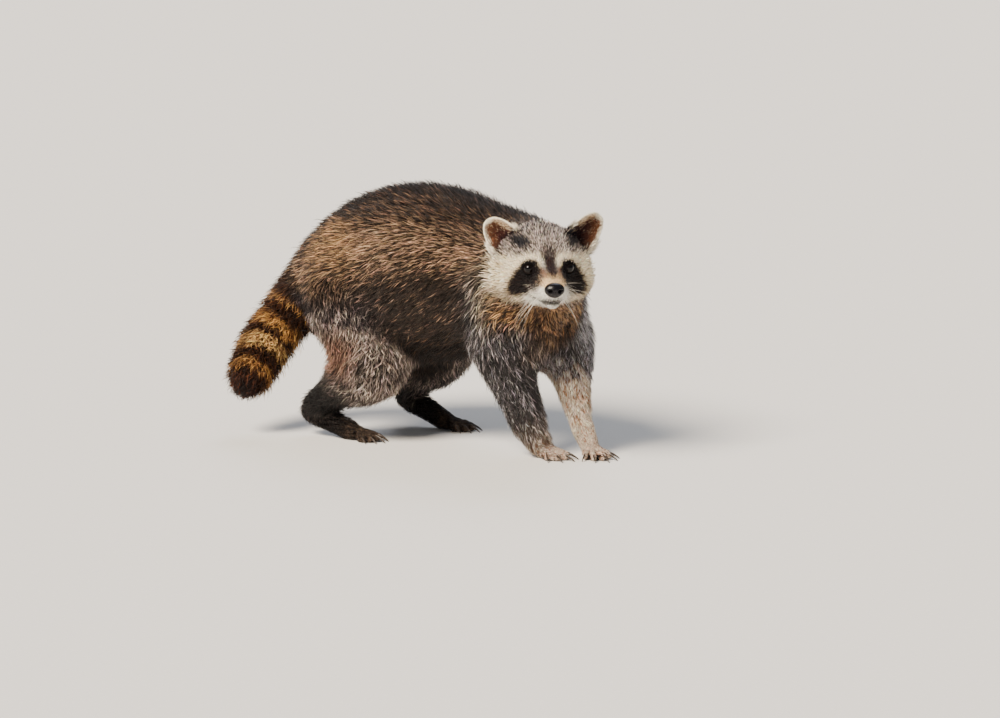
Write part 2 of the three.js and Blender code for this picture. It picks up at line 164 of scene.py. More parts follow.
def twoTone(tree, grain, tones):
    ramp = addNode(tree, "ValToRGB", Fac=grain)
    for stop, tone in zip(ramp.color_ramp.elements, tones):
        stop.color = rgba(tone)
    return ramp.outputs["Color"]


def materialOf(look):
    # a grain varies the colour painted on the piece, or runs between two tones, and roughens the surface
    material, tree = newMaterial(look["name"])
    kind, *sizes = look["grain"]
    place = addNode(tree, "TexCoord").outputs["Object"]
    grain = addNode(tree, kind, dict(zip(("Scale", "Detail"), sizes)), Vector=place).outputs[0]
    if "painted" in look:
        painted = addNode(tree, "Attribute", {"attribute_name": look["painted"]}).outputs["Color"]
        links = {"Base_Color": varied(tree, painted, grain, *look["vary"])}
    else:
        links = {"Base_Color": twoTone(tree, grain, look["tones"])}
    if "bump" in look:
        bump = addNode(tree, "Bump", dict(zip(("Strength", "Distance"), look["bump"])), Height=grain)
        links["Normal"] = bump.outputs["Normal"]
    finishMaterial(tree, look["settings"], **links)
    return material


def ringAngles(count):
    return np.arange(count) * 2 * math.pi / count


def gridFaces(rows, columns):
    # quads between rows of points; the last column joins the first
    i, j = np.meshgrid(np.arange(rows - 1), np.arange(columns), indexing="ij")
    a = i * columns + j
    b = i * columns + (j + 1) % columns
    return np.stack([a, b, b + columns, a + columns], -1).reshape(-1, 4)


# the animal's own frames, found from the eyes
skeleton = {  # millimetres, with each bone's length from joint to joint as in the solids
    "head": (160, -63, 236), "neckBase": (88, -6, 212), "withers": (60, -2, 205),
    "back": (-45, 0, 204), "rump": (-150, 0, 184),
    "shoulderR": (84, -48, 196), "elbowR": (96, -58, 128), "wristR": (132, -46, 34), "palmR": (152, -48, 9),
    "shoulderL": (98, 38, 192), "elbowL": (126, 42, 124), "wristL": (174, -3, 42), "palmL": (195, -14, 14),
    "hipR": (-125, -44, 162), "kneeR": (-85, -64, 90), "heelR": (-178, -62, 31), "ballR": (-112, -66, 9),
    "hipL": (-125, 44, 162), "kneeL": (-70, 60, 96), "heelL": (-120, 58, 38), "ballL": (-58, 58, 9),
    "tail0": (-203, 0, 203), "tail1": (-237, -14, 147), "tail2": (-250, -54, 105), "tail3": (-243, -100, 71),
    "tailTip": (-238, -128, 54), "toesR": (184, -51, 6), "toesL": (223, -29, 6),
    "hindToesR": (-76, -68, 6), "hindToesL": (-22, 58, 6),
}
face = {
    "eyeForward": 40, "eyeApart": 23, "eyeUp": 1, "eyeRadius": 8,
    "nose": (82, 0, -19.5), "noseRadii": (9, 11.5, 9),
}
eyeMiddles = {
    side: np.array([face["eyeForward"], side * face["eyeApart"], face["eyeUp"]]) for side in (-1, 1)
}

eyeBoxes = {side: np.array(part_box(f"eye_{side}")) for side in ("right", "left")}
eyes = {side: box.mean(0) for side, box in eyeBoxes.items()}
leftward = unit(eyes["left"] - eyes["right"])
upward = np.array([0.0, 0.0, 1.0])
forward = np.cross(leftward, upward)
headAxes = np.array([forward, leftward, upward])
headPlace = (eyes["left"] + eyes["right"]) / 2 - (face["eyeForward"] * forward + face["eyeUp"] * upward) * mm
shift = headPlace - np.array(skeleton["head"]) * mm


def toHead(points):
    return (points - headPlace) @ headAxes.T / mm


def fromHead(points):
    return np.asarray(points, float) * mm @ headAxes + headPlace


def joint(name):
    return np.array(skeleton[name]) * mm + shift


def eyeDistance(local):
    # millimetres from the middle of the nearer eye
    return np.min([np.linalg.norm(local - middle, axis=1) for middle in eyeMiddles.values()], axis=0)


# camera, light and floor
view = {
    "azimuth": 33, "elevation": 9, "distance": 6.5, "lens": 195, "sensor": 36,
    "aimAt": (130, -40, 0), "right": -38.4, "up": 115.2,
}


def setCamera():
    back = bearing(view["azimuth"], view["elevation"])
    level = bearing(view["azimuth"], 0)
    right = np.array([-level[1], level[0], 0])
    up = np.cross(back, right)
    aim = np.array(view["aimAt"]) * mm + shift + (view["right"] * right + view["up"] * up) * mm
    camera = linked("camera", bpy.data.cameras.new("camera"))
    camera.data.lens = view["lens"]
    camera.data.sensor_width = view["sensor"]
    camera.data.clip_end = 50
    setFacing(camera, aim + back * view["distance"], back)
    bpy.context.scene.camera = camera


lamps = {  # azimuth, elevation and spread in degrees, strength, colour
    "key": (-12, 46, 27, 7.8, "#fff1de"),
    "back": (205, 42, 30, 1.2, "#eef3ff"),
}
# the air's strength at the horizon and above it, its colour, and metres of floor
studio = {"low": 1.05, "high": 0.28, "fadedAt": 0.35, "air": "#e9edf2", "floorSize": 60}
floorLook = {
    "name": "matt paper floor", "grain": ("TexNoise", 180.0, 4.0), "tones": ("#e4e2de", "#ebe9e6"),
    "settings": {"Roughness": 0.9},
}


def setStudio():
    # broad lamps far away, and air that is paler near the horizon than above
    for name, (azimuth, elevation, spread, strength, colour) in lamps.items():
        light = bpy.data.lights.new(name, "SUN")
        light.angle = math.radians(spread)
        light.energy = strength
        light.color = linear(colour)
        back = bearing(azimuth, elevation)
        setFacing(linked(name, light), back * 3, back)
    world = bpy.data.worlds.new("studio")
    world.use_nodes = True
    tree = world.node_tree
    sky = tree.nodes["Background"]
    sky.inputs["Color"].default_value = rgba(studio["air"])
    direction = addNode(tree, "TexCoord")
    height = addNode(tree, "SeparateXYZ", Vector=direction.outputs["Generated"])
    fade = {"From Max": studio["fadedAt"], "To Min": studio["low"], "To Max": studio["high"]}
    glow = addNode(tree, "MapRange", fade, Value=height.outputs["Z"])
    tree.links.new(glow.outputs[0], sky.inputs["Strength"])
    bpy.context.scene.world = world
    half = studio["floorSize"] / 2
    mesh = bpy.data.meshes.new("floor")
    corners = [(-half, -half, 0), (half, -half, 0), (half, half, 0), (-half, half, 0)]
    mesh.from_pydata(corners, [], [(0, 1, 2, 3)])
    mesh.materials.append(materialOf(floorLook))
    linked("floor", mesh)


# the lie of the coat: bones that the hair runs along, and what it is like on each
# from, to, radius there and here, coat's depth, hair's length, spacing and width of tufts, all in millimetres
bones = {
    "neck": ("head", "neckBase", 52, 72, 15, 25, 1.5, 0.95),
    "withers": ("neckBase", "withers", 76, 88, 17, 25, 1.55, 1.0),
    "back": ("withers", "back", 90, 100, 18, 26, 1.6, 1.0),
    "rump": ("back", "rump", 100, 84, 18, 26, 1.6, 1.0),
    "tailRoot": ("rump", "tail0", 78, 36, 17, 27, 1.55, 1.0),
    "tail1": ("tail0", "tail1", 36, 37, 17, 27, 1.45, 1.0),
    "tail2": ("tail1", "tail2", 37, 36, 18, 27, 1.4, 1.0),
    "tail3": ("tail2", "tail3", 36, 32, 18, 27, 1.4, 1.0),
    "tailTip": ("tail3", "tailTip", 31, 10, 17, 26, 1.35, 1.0),
    "armR": ("shoulderR", "elbowR", 46, 34, 13, 27, 1.5, 0.95),
    "forearmR": ("elbowR", "wristR", 34, 22, 9, 24, 1.4, 0.9),
    "forefootR": ("wristR", "palmR", 20, 12, 3.5, 9, 1.2, 0.7),
    "foretoesR": ("palmR", "toesR", 12, 7, 1.1, 4.0, 0.85, 0.5),
    "armL": ("shoulderL", "elbowL", 46, 34, 13, 26, 1.5, 0.95),
    "forearmL": ("elbowL", "wristL", 34, 15, 6.5, 18, 1.35, 0.85),
    "forefootL": ("wristL", "palmL", 15, 12, 2.2, 7, 1.1, 0.65),
    "foretoesL": ("palmL", "toesL", 12, 7, 1.1, 4.0, 0.85, 0.5),
    "thighR": ("hipR", "kneeR", 60, 42, 16, 28, 1.55, 0.95),
    "shankR": ("kneeR", "heelR", 42, 17, 10, 20, 1.45, 0.9),
    "hindfootR": ("heelR", "ballR", 15, 12, 2.4, 7, 1.15, 0.65),
    "hindtoesR": ("ballR", "hindToesR", 12, 7, 1.1, 4.0, 0.85, 0.5),
    "thighL": ("hipL", "kneeL", 60, 42, 16, 28, 1.6, 1.0),
    "shankL": ("kneeL", "heelL", 42, 17, 10, 20, 1.45, 0.9),
    "hindfootL": ("heelL", "ballL", 15, 12, 2.4, 7, 1.15, 0.65),
    "hindtoesL": ("ballL", "hindToesL", 12, 7, 1.1, 4.0, 0.85, 0.5),
}


def alongBone(points, a, b):
    # nearest place on a bone, as a share of its length, and the distance to it
    bone = b - a
    t = np.clip((points - a) @ bone / (bone @ bone), 0, 1)
    return t, np.linalg.norm(points - a - t[:, None] * bone, axis=1)


def boneShares(points):
    # each point belongs to the bone whose own surface is nearest, and softly to the next ones
    gaps = []
    for start, end, r0, r1, *_ in bones.values():
        t, away = alongBone(points, joint(start), joint(end))
        gaps.append(away / mm - (r0 + (r1 - r0) * t))
    gaps = np.array(gaps)
    shares = np.exp(-(gaps - gaps.min(0)) / 4.0)
    return shares / shares.sum(0)


print("frames and helpers ready")


# grids and caps
def closedGrid(points):
    # rows x columns x 3: columns close on themselves, first and last rows are closed by fans of quads
    rows, columns, _ = points.shape
    flat = points.reshape(-1, 3)
    faces = [gridFaces(rows, columns)]
    j = np.arange(0, columns, 2)
    for number, (row, turn) in enumerate(((0, 1), (rows - 1, -1))):
        middle = np.full(len(j), len(flat) + number)
        ring = [row * columns + (j + step) % columns for step in (2, 1, 0)]
        faces.append(np.stack([middle, *ring], 1)[:, ::turn])
    return np.vstack([flat, points[0].mean(0), points[-1].mean(0)]), np.vstack(faces)


def ballGrid(v, columns):
    # a unit ball: v is the angle from its first axis to each row
    v, u = np.meshgrid(v, ringAngles(columns), indexing="ij")
    return v, np.stack([np.cos(v), np.sin(v) * np.cos(u), np.sin(v) * np.sin(u)], -1)


def outwards(points, faces):
    # faces of a closed shape, turned so that they point out of it
    a, b, c, d = (points[faces[:, k]] for k in range(4))
    volume = (np.cross(b, c) * a).sum() + (np.cross(c, d) * a).sum()
    return faces if volume > 0 else faces[:, ::-1]


def joined(shapes):
    # several (points, faces) as one
    points, faces, count = [], [], 0
    for shapePoints, shapeFaces in shapes:
        points.append(shapePoints)
        faces.append(outwards(shapePoints, shapeFaces) + count)
        count += len(shapePoints)
    return np.vstack(points), np.vstack(faces)


# eyes and lids
eyeShape = {  # millimetres, and degrees that the gaze points outwards and up
    "inset": 0.35, "cornea": 0.4, "corneaAngle": 40, "out": 24, "up": 5, "rows": 40,
    "pupil": (2.6, 3.4), "iris": (5.0, 6.0),  # where the soft edge of each begins and ends
    "tones": ("#020102", "#0d0705", "#080505"),
}
eyeLook = {  # a wet cornea over a nearly black brown iris: one sharp highlight
    "name": "wet eye", "grain": ("TexNoise", 1400.0, 2.0), "painted": "eyeColour", "vary": (0.88, 1.12),
    "settings": {"Roughness": 0.05, "IOR": 1.36, "Specular IOR Level": 0.4},
}
lidShape = {  # degrees on the eyeball, and millimetres for the bare reach
    "halfWidth": 50, "halfHeight": 40, "tilt": 14, "inner": 0.10, "furEdge": 8, "bareReach": 10.8,
    "moist": 1.6, "columns": 64, "tones": ("#040303", "#1c1513"),
}
lidProfile = [  # degrees out from the lid's edge, and radius there
    (0.0, 8.05), (1.0, 8.4), (4.0, 8.62), (10.0, 8.75), (20.0, 8.8), (34.0, 8.6), (46.0, 8.2), (46.0, 7.2),
    (20.0, 7.0), (2.0, 7.2),
]
lidLook = {  # thin dark skin of the lids, with a painted reflection: a paler band along the wet lower edge
    "name": "dark lid skin", "grain": ("TexNoise", 1100.0, 3.0), "painted": "lidColour", "vary": (0.7, 1.25),
    "bump": (0.5, 0.0003), "settings": {"Roughness": 0.85, "Specular IOR Level": 0.08},
}


def eyeAxes(side):
    # gaze, outward along the face, up
    right, back, up = bearing(eyeShape["out"], eyeShape["up"])
    gaze = np.array([-back, side * right, up])
    up = unit(np.array([0, 0, 1]) - gaze[2] * gaze)
    return np.stack([gaze, np.cross(up, gaze) * side, up])


def makeEye(side, name, material):
    # a ball about the gaze; its front bulges as the cornea does
    shape = eyeShape
    v, ball = ballGrid(np.radians(np.linspace(1.5, 178.5, shape["rows"])), shape["rows"])
    bulge = shape["cornea"] * ease(math.radians(shape["corneaAngle"]), 0, v)
    points, faces = closedGrid(ball * (face["eyeRadius"] - shape["inset"] + bulge)[..., None])
    across = np.where(points[:, 0] < 0, 99, np.linalg.norm(points[:, 1:], axis=1))
    pupil, iris, rest = (linear(tone) for tone in shape["tones"])
    tone = mix(mix(pupil, iris, ease(*shape["pupil"], across)), rest, ease(*shape["iris"], across))
    placed = fromHead(points @ eyeAxes(side) + eyeMiddles[side])
    eye = newPiece(f"eyeball_{name}", placed, outwards(placed, faces), material)
    paint(eye, "eyeColour", tone)
    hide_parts(f"eye_{name}")


def lidOpening(turn, inner=0.0):
    # degrees from the gaze to the lids' edge: an oval, its inner corner drawn out by a share
    wide = lidShape["halfWidth"] * (1 + inner * ease(0.5, 1, -np.cos(turn)))
    return 1 / np.sqrt((np.cos(turn) / wide) ** 2 + (np.sin(turn) / lidShape["halfHeight"]) ** 2)


def makeLids(side, name, material):
    # a collar round the opening: rows run from the lid's edge out over the eyeball and back underneath
    columns = lidShape["columns"]
    u = ringAngles(columns)
    turned = u + math.radians(lidShape["tilt"])
    step, radius = np.array(lidProfile).T[..., None]
    angle = np.radians(np.minimum(lidOpening(u, lidShape["inner"]) + step, 100))
    grid = [np.cos(angle), np.sin(angle) * np.cos(turned), np.sin(angle) * np.sin(turned)]
    points = (np.stack(grid, -1) * radius[..., None]).reshape(-1, 3)
    rows, j = len(lidProfile), np.arange(columns)
    last = (rows - 1) * columns
    seam = np.stack([last + j, last + (j + 1) % columns, (j + 1) % columns, j], 1)
    placed = fromHead(points @ eyeAxes(side) + eyeMiddles[side])
    lids = newPiece(name, placed, outwards(placed, np.vstack([gridFaces(rows, columns), seam])), material)
    step = np.repeat(step.ravel(), columns)
    # painted reflection: near the lid's edge, the lower rim takes the second, paler tone, where the wet rim
    # would catch light
    moist = ease(lidShape["moist"] + 1.5, lidShape["moist"] - 1, step)
    moist = moist * ease(0.1, -0.7, np.tile(np.sin(u), rows)) * (step < 10)
    paint(lids, "lidColour", mix(*[linear(tone) for tone in lidShape["tones"]], moist))
    finish = lids.modifiers.new("rounder", "SUBSURF")
    finish.levels = finish.render_levels = 1


eyeFinish, lidFinish = materialOf(eyeLook), materialOf(lidLook)
for side, name in ((-1, "right"), (1, "left")):
    makeEye(side, name, eyeFinish)
    makeLids(side, f"eyelids_{name}", lidFinish)
print("eyes and lids made")


# nose
noseShape = {  # millimetres: nostril and the end of its slit, sideways and up, and how deep they go
    "nostril": (5.4, -0.6), "nostrilDepth": 4.2, "nostrilSize": 1.9, "wing": (9.4, 0.9), "groove": 0.9,
    "rows": 56, "columns": 80,
}
noseLook = {"pebbles": 1300.0, "patches": 160.0, "tones": ("#040305", "#0f0c12"), "bump": (0.35, 0.0004)}


def noseMaterial():
    # moist bare skin in 0.8 mm pebbles: nearly black with a cool gloss, dull in the nostrils and painted
    # darker there as painted shade
    material, tree = newMaterial("moist nose leather")
    place = addNode(tree, "TexCoord").outputs["Object"]
    pebbles = addNode(tree, "TexVoronoi", {"Scale": noseLook["pebbles"]}, Vector=place)
    patches = addNode(tree, "TexNoise", {"Scale": noseLook["patches"], "Detail": 3.0}, Vector=place)
    tone = twoTone(tree, patches.outputs["Fac"], noseLook["tones"])
    bump = dict(zip(("Strength", "Distance"), noseLook["bump"]))
    relief = addNode(tree, "Bump", bump, Height=pebbles.outputs["Distance"])
    nostrils = addNode(tree, "Attribute", {"attribute_name": "nostrils"}).outputs["Fac"]
    dull = addNode(tree, "MapRange", {"To Min": 0.25, "To Max": 0.95}, Value=nostrils)
    # painted shade: inside the nostrils, the colour is scaled down to a fifth
    bare = addNode(tree, "MapRange", {"To Min": 1.0, "To Max": 0.2}, Value=nostrils)
    shade = addNode(tree, "VectorMath", {"operation": "SCALE"}, Vector=tone, Scale=bare.outputs[0])
    finishMaterial(tree, {"IOR": 1.38}, Base_Color=shade.outputs[0], Roughness=dull.outputs[0],
                   Normal=relief.outputs["Normal"])
    return material


def makeNose():
    # an oval pad, wider above, dented by two comma-shaped nostrils and a groove below the middle
    _, ball = ballGrid(np.radians(np.linspace(1, 179, noseShape["rows"])), noseShape["columns"])
    x, y, z = ball[..., 0], ball[..., 1], ball[..., 2]
    rx, ry, rz = face["noseRadii"]
    width = 1.04 + 0.1 * z - 0.1 * ease(-0.3, -1, z)
    points = np.stack([x * rx, y * ry * width, z * rz], -1)
    py, pz = points[..., 1], points[..., 2]
    (inside, height), (outside, end) = noseShape["nostril"], noseShape["wing"]
    hole = np.zeros_like(py)
    for side in (-1, 1):
        away = np.hypot((py - side * inside) / 1.15, pz - height)
        hole = np.maximum(hole, ease(1.9, 0.7, away / noseShape["nostrilSize"] * 1.2))
        # the slit that runs out and up from the nostril
        out = py * side
        t = np.clip((out - inside) / (outside - inside), 0, 1)
        slit = np.abs(pz - (height + t * (end - height)))
        hole = np.maximum(hole, 0.55 * ease(1.2, 0.2, slit) * ease(1.15, 0.9, out / outside) * (out > inside))
    front = x > 0.05
    groove = ease(1.1, 0, np.abs(py)) * ease(1.5, -1.5, pz)
    points[..., 0] -= noseShape["nostrilDepth"] * hole * front
    points[..., 0] -= noseShape["groove"] * groove * front
    flat, faces = closedGrid(points)
    placed = fromHead(flat + face["nose"])
    nose = newPiece("nose_pad", placed, outwards(placed, faces), noseMaterial())
    paint(nose, "nostrils", np.tile(np.r_[(hole * front).ravel(), 0, 0][:, None], (1, 3)))
    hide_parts("nose")


makeNose()
print("nose made")


# ears
earShape = {  # millimetres and degrees: the shell lies inside the ear's outline by the hair of its rim
    "root": (2, 34.5, 13.6), "lean": {-1: (-34, -6, 14), 1: (-37, -6, 14)}, "height": {-1: 51, 1: 57},
    "width": 44, "wall": 2.0, "rimHair": 2.0, "rows": 34, "columns": 64, "fold": 1.2,
}
earLook = {  # thin skin with a bloom of very short hair
    "name": "ear skin", "grain": ("TexNoise", 1200.0, 3.0), "painted": "coatColour", "vary": (0.75, 1.2),
    "bump": (0.4, 0.0004), "settings": {"Roughness": 0.7, "Sheen Weight": 0.2},
}


def earTurn(side):
    # the three turns of the ear, about x, y and z, one after another
    turn = np.eye(3)
    for axis, (angle, hand) in enumerate(zip(earShape["lean"][side], (side, 1, side))):
        c, s = math.cos(math.radians(angle * hand)), math.sin(math.radians(angle * hand))
        one = np.eye(3)
        j, k = (axis + 1) % 3, (axis + 2) % 3
        one[j, j], one[j, k], one[k, j], one[k, k] = c, -s, s, c
        turn = turn @ one
    return turn


def earSurface(side, t, turn):
    # a cupped leaf: t runs from root to tip, turn goes round each level, front side first and back side after
    shape = earShape
    half = (shape["width"] / 2 - shape["rimHair"]) * np.sqrt(np.maximum(1 - 0.97 * t ** 2.3, 0))
    cup = half * (0.75 - 0.4 * t)
    across = np.sin(turn)
    y = half * np.cos(turn) + side * (5.5 * t - 1.4)
    x = -cup * across ** 2 - 6 * t - 1.6 + shape["wall"] / 2 * across * (1 + 0.5 * (1 - t))
    # two low folds inside, rising from the root
    x = x + shape["fold"] * np.clip(across, 0, 1) * np.cos(turn * 5) * ease(0.75, 0.1, t)
    z = (shape["height"][side] - shape["rimHair"]) * t
    return fromHead(np.stack([x, y, z], -1) @ earTurn(side).T + np.array(shape["root"]) * [1, side, 1])


def earColour(side, t, turn):
    # a pale rim; inside rusty brown, turning deep red-brown in the middle and black at the root near the
    # crown, as painted shade in the hollow of the ear
    edge = np.abs(np.cos(turn))
    inwards = -side * np.cos(turn)  # 1 at the edge near the crown, -1 at the outer edge
    p = palette
    rim = np.maximum(ease(0.82, 0.93, edge), ease(0.85, 0.94, t)) * ease(0.22, 0.42, t + 0.2 * (inwards < 0))
    middle = np.hypot((t - 0.42) / 0.42, (np.cos(turn) + 0.1 * side) / 0.75)
    # painted shade: the inside darkens towards the middle of the hollow and towards its root
    inside = mix(p["earRust"], p["earDeep"], ease(1.15, 0.35, middle))
    inside = mix(inside, p["earDark"], ease(0.5, 0.12, t - 0.12 * inwards))
    outside = mix(p["earBack"], p["crownDark"], ease(0.75, 0.2, t))
    backRim = np.maximum(ease(0.6, 0.85, edge), ease(0.8, 0.93, t)) * ease(0.2, 0.4, t)
    outside = mix(outside, p["earRim"], backRim)
    return mix(np.where((np.sin(turn) > 0)[:, None], inside, outside), p["earRim"], rim)


def makeEar(side, name, material):
    rise = np.sin(np.linspace(0, math.pi / 2, earShape["rows"]))
    t, turn = np.meshgrid(rise, ringAngles(earShape["columns"]), indexing="ij")
    points, faces = closedGrid(earSurface(side, t, turn))
    ear = newPiece(f"{name}_shell", points, outwards(points, faces), material)
    colours = earColour(side, t.ravel(), turn.ravel())
    paint(ear, "coatColour", np.vstack([colours, colours[:1], colours[-1:]]))
    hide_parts(name)


# claws, pads and whiskers
clawShape = {  # millimetres: radii at root and tip, height of the arch, and how the root sits in the toe
    "root": 1.65, "tip": 0.25, "arch": 1.8, "buried": 4.0, "sunk": 1.4, "short": 2.2, "taper": 0.55,
    "section": (0.74, 1.25), "rows": 14, "columns": 12,
}
clawLook = {  # keratin: smooth, faintly streaked
    "name": "dark horn", "grain": ("TexNoise", 500.0, 3.0), "tones": ("#171210", "#4a3d34"),
    "settings": {"Roughness": 0.32},
}
padShape = {"toe": (3.6, 3.2, 2.2), "palm": (8.0, 7.5, 3.0), "behind": 6.0}  # radii, place behind the claw
padLook = {  # thick bare skin, fine-grained and dull
    "name": "pad leather", "grain": ("TexVoronoi", 900.0), "tones": ("#1a1514", "#352b28"),
    "bump": (0.5, 0.0003), "settings": {"Roughness": 0.6},
}
footBalls = {"fore_right": "palmR", "fore_left": "palmL", "hind_right": "ballR", "hind_left": "ballL"}


def clawEnds(name):
    # the two ends of a claw's solid: the root is the higher one
    points = readArray(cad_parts[name].data.vertices, "co", 3).astype(float)
    middle = points.mean(0)
    axis = np.linalg.svd(points - middle)[2][0]
    reach = (points - middle) @ axis
    ends = [middle + axis * reach.min(), middle + axis * reach.max()]
    return sorted(ends, key=lambda end: -end[2])


toeLines = [  # the ball of each foot, and the roots of its five claws
    (joint(ball), [clawEnds(f"claw_{foot}_{toe}")[0] for toe in range(1, 6)])
    for foot, ball in footBalls.items()
]


def tube(line, radii, columns, flatten=(1.0, 1.0)):
    # rings square to a line; flatten scales them sideways and upwards
    ahead = unit(np.gradient(line, axis=0))
    side = unit(np.cross(ahead, [0, 0, 1.0]))
    up = np.cross(side, ahead)
    c, s = np.cos(ringAngles(columns)), np.sin(ringAngles(columns))
    ring = c[None, :, None] * side[:, None] * flatten[0] + s[None, :, None] * up[:, None] * flatten[1]
    return closedGrid(line[:, None] + ring * np.asarray(radii)[:, None, None])


def makeClaws():
    # horn swept along an arch, tapering to a blunt point
    shape = clawShape
    shapes = []
    names = [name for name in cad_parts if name.startswith("claw")]
    t = np.linspace(0, 1, shape["rows"])
    radii = (shape["tip"] + (shape["root"] - shape["tip"]) * (1 - t) ** shape["taper"]) * mm
    for name in names:
        root, tip = clawEnds(name)
        back = unit(root - tip)
        start = root + (back * shape["buried"] - [0, 0, shape["sunk"]]) * mm
        line = start + (tip - back * shape["short"] * mm - start) * t[:, None]
        line[:, 2] += shape["arch"] * mm * 4 * t * (1 - t)
        shapes.append(tube(line, radii, shape["columns"], shape["section"]))
    points, faces = joined(shapes)
    points[:, 2] = np.maximum(points[:, 2], 0.05 * mm)
    claws = newPiece("claws", points, faces, materialOf(clawLook))
    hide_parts(*names)


def makePads():
    # naked pads under each toe and palm, flat ovals that touch the floor
    shapes = []
    ball = ballGrid(np.linspace(0.1, math.pi - 0.1, 12), 20)[1][..., [1, 2, 0]]
    for palm, roots in toeLines:
        places = [(palm, padShape["palm"])]
        for root in roots:
            place = root + unit((palm - root) * [1, 1, 0]) * padShape["behind"] * mm
            places.append((place, padShape["toe"]))
        for place, radii in places:
            grid = ball * np.array(radii) * mm + place * [1, 1, 0] + [0, 0, radii[2] * mm * 0.96]
            grid[..., 2] = np.maximum(grid[..., 2], 0.02 * mm)
            shapes.append(closedGrid(grid))
    newPiece("paw_pads", *joined(shapes), materialOf(padLook))


whiskerRows = {  # hairs per side, where they start, length, and how far out, back and down they point
    "upper": (3, (61, 15.5, -18), (24, 34), (1.0, 0.45, 0.0)),
    "middle": (4, (60, 16.5, -22), (34, 46), (1.0, 0.4, 0.42)),
    "lower": (3, (58, 16.0, -28), (34, 46), (0.9, 0.35, 0.85)),
    "brow": (4, (37, 21, 14), (14, 22), (0.5, 0.3, -0.9)),
    "cheek": (2, (27, 43, -23), (20, 28), (0.8, 0.6, 0.5)),
}
whiskerForm = {"radius": 0.25, "points": 12, "sides": 6, "spread": (3.2, 0.6, 2.0), "tousled": 0.3}
whiskerLook = {  # clear pale keratin, a little darker here and there
    "name": "whisker", "grain": ("TexNoise", 30.0), "tones": ("#d9cdb9", "#fbf6ea"),
    "settings": {"Roughness": 0.3},
}


def makeWhiskers():
    # stiff tapering hairs that leave the muzzle sideways, sweep back and hang at their ends
    rng = np.random.default_rng(4)
    shapes = []
    t = np.linspace(0, 1, whiskerForm["points"])[:, None]
    radii = whiskerForm["radius"] * mm * (1.05 - t[:, 0]) ** 0.8
    for side in (-1, 1):
        for amount, (x, y, z), (short, long), (out, back, down) in whiskerRows.values():
            for _ in range(amount):
                start = np.array([x, y - 3, z]) + rng.normal(0, 1, 3) * whiskerForm["spread"]
                length = rng.uniform(short, long)
                ahead = unit(np.array([-back, out, -down]) + rng.normal(0, whiskerForm["tousled"], 3))
                sag = np.array([-0.12, -0.1, -0.32 * rng.uniform(0.3, 1.2)])
                line = (start + length * (ahead * t + sag * t ** 2)) * [1, side, 1]
                shapes.append(tube(fromHead(line), radii, whiskerForm["sides"]))
    newPiece("whiskers", *joined(shapes), materialOf(whiskerLook))


makeClaws()
makePads()
makeWhiskers()
print("claws, pads and whiskers made")


# the hide: the solids of flesh made one skin, smoothed and sunk by the coat's depth
hideShape = {  # millimetres, and rounds of smoothing
    "overlap": 0.35, "cell": 2.2, "earBall": (-2, 30, 9), "earBallRadius": 15,
    "cleft": 5.0, "mouth": 1.6, "underNose": 6, "aboveFloor": 0.6,
    "limbs": 14, "body": 60, "lost": 30, "normals": 6, "depth": 8, "sunk": 12, "endNormals": 4,
}
fleshNodes = [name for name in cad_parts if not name.startswith(("claw", "ear", "eye", "nose"))]


def fleshMesh():
    body = bmesh.new()
    for name in fleshNodes + ["eye_right", "eye_left", "nose"]:
        body.from_mesh(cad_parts[name].data)
    bmesh.ops.remove_doubles(body, verts=body.verts, dist=1e-6)
    for vertex in body.verts:
        vertex.co += vertex.normal * hideShape["overlap"] * mm
    for side in (-1, 1):  # fills the ear's socket
        ball = bmesh.ops.create_icosphere(body, subdivisions=3, radius=hideShape["earBallRadius"] * mm)
        where = fromHead(np.array(hideShape["earBall"]) * [1, side, 1])
        bmesh.ops.translate(body, verts=ball["verts"], vec=where)
    mesh = bpy.data.meshes.new("flesh")
    body.to_mesh(mesh)
    body.free()
    return mesh


def remeshed(mesh, cell):
    holder = linked("flesh", mesh)
    remesh = holder.modifiers.new("one skin", "REMESH")
    remesh.mode = "VOXEL"
    remesh.voxel_size = cell * mm
    done = bpy.data.meshes.new_from_object(holder.evaluated_get(bpy.context.evaluated_depsgraph_get()))
    bpy.data.objects.remove(holder)
    return done


def neighbourMean(values, edges):
    a, b = edges.T
    count = len(values)
    degree = np.bincount(a, minlength=count) + np.bincount(b, minlength=count)
    sums = [np.bincount(a, v[b], count) + np.bincount(b, v[a], count) for v in values.T]
    return np.stack(sums, 1) / degree[:, None]


def smoothed(values, edges, rounds, share=1.0):
    for _ in range(rounds):
        values = values + (neighbourMean(values, edges) - values) * 0.6 * share
    return values


def meshNormals(mesh, points):
    mesh.vertices.foreach_set("co", points.astype(np.float32).ravel())
    mesh.update()
    return readArray(mesh.vertex_normals, "vector", 3).astype(float)


toeShape = {  # millimetres: how far and how high a foot reaches, and where its toes begin and end
    "reach": 60, "height": 26, "ahead": (3, 10), "top": (24, 18), "cleft": (2.4, 4.2),
}


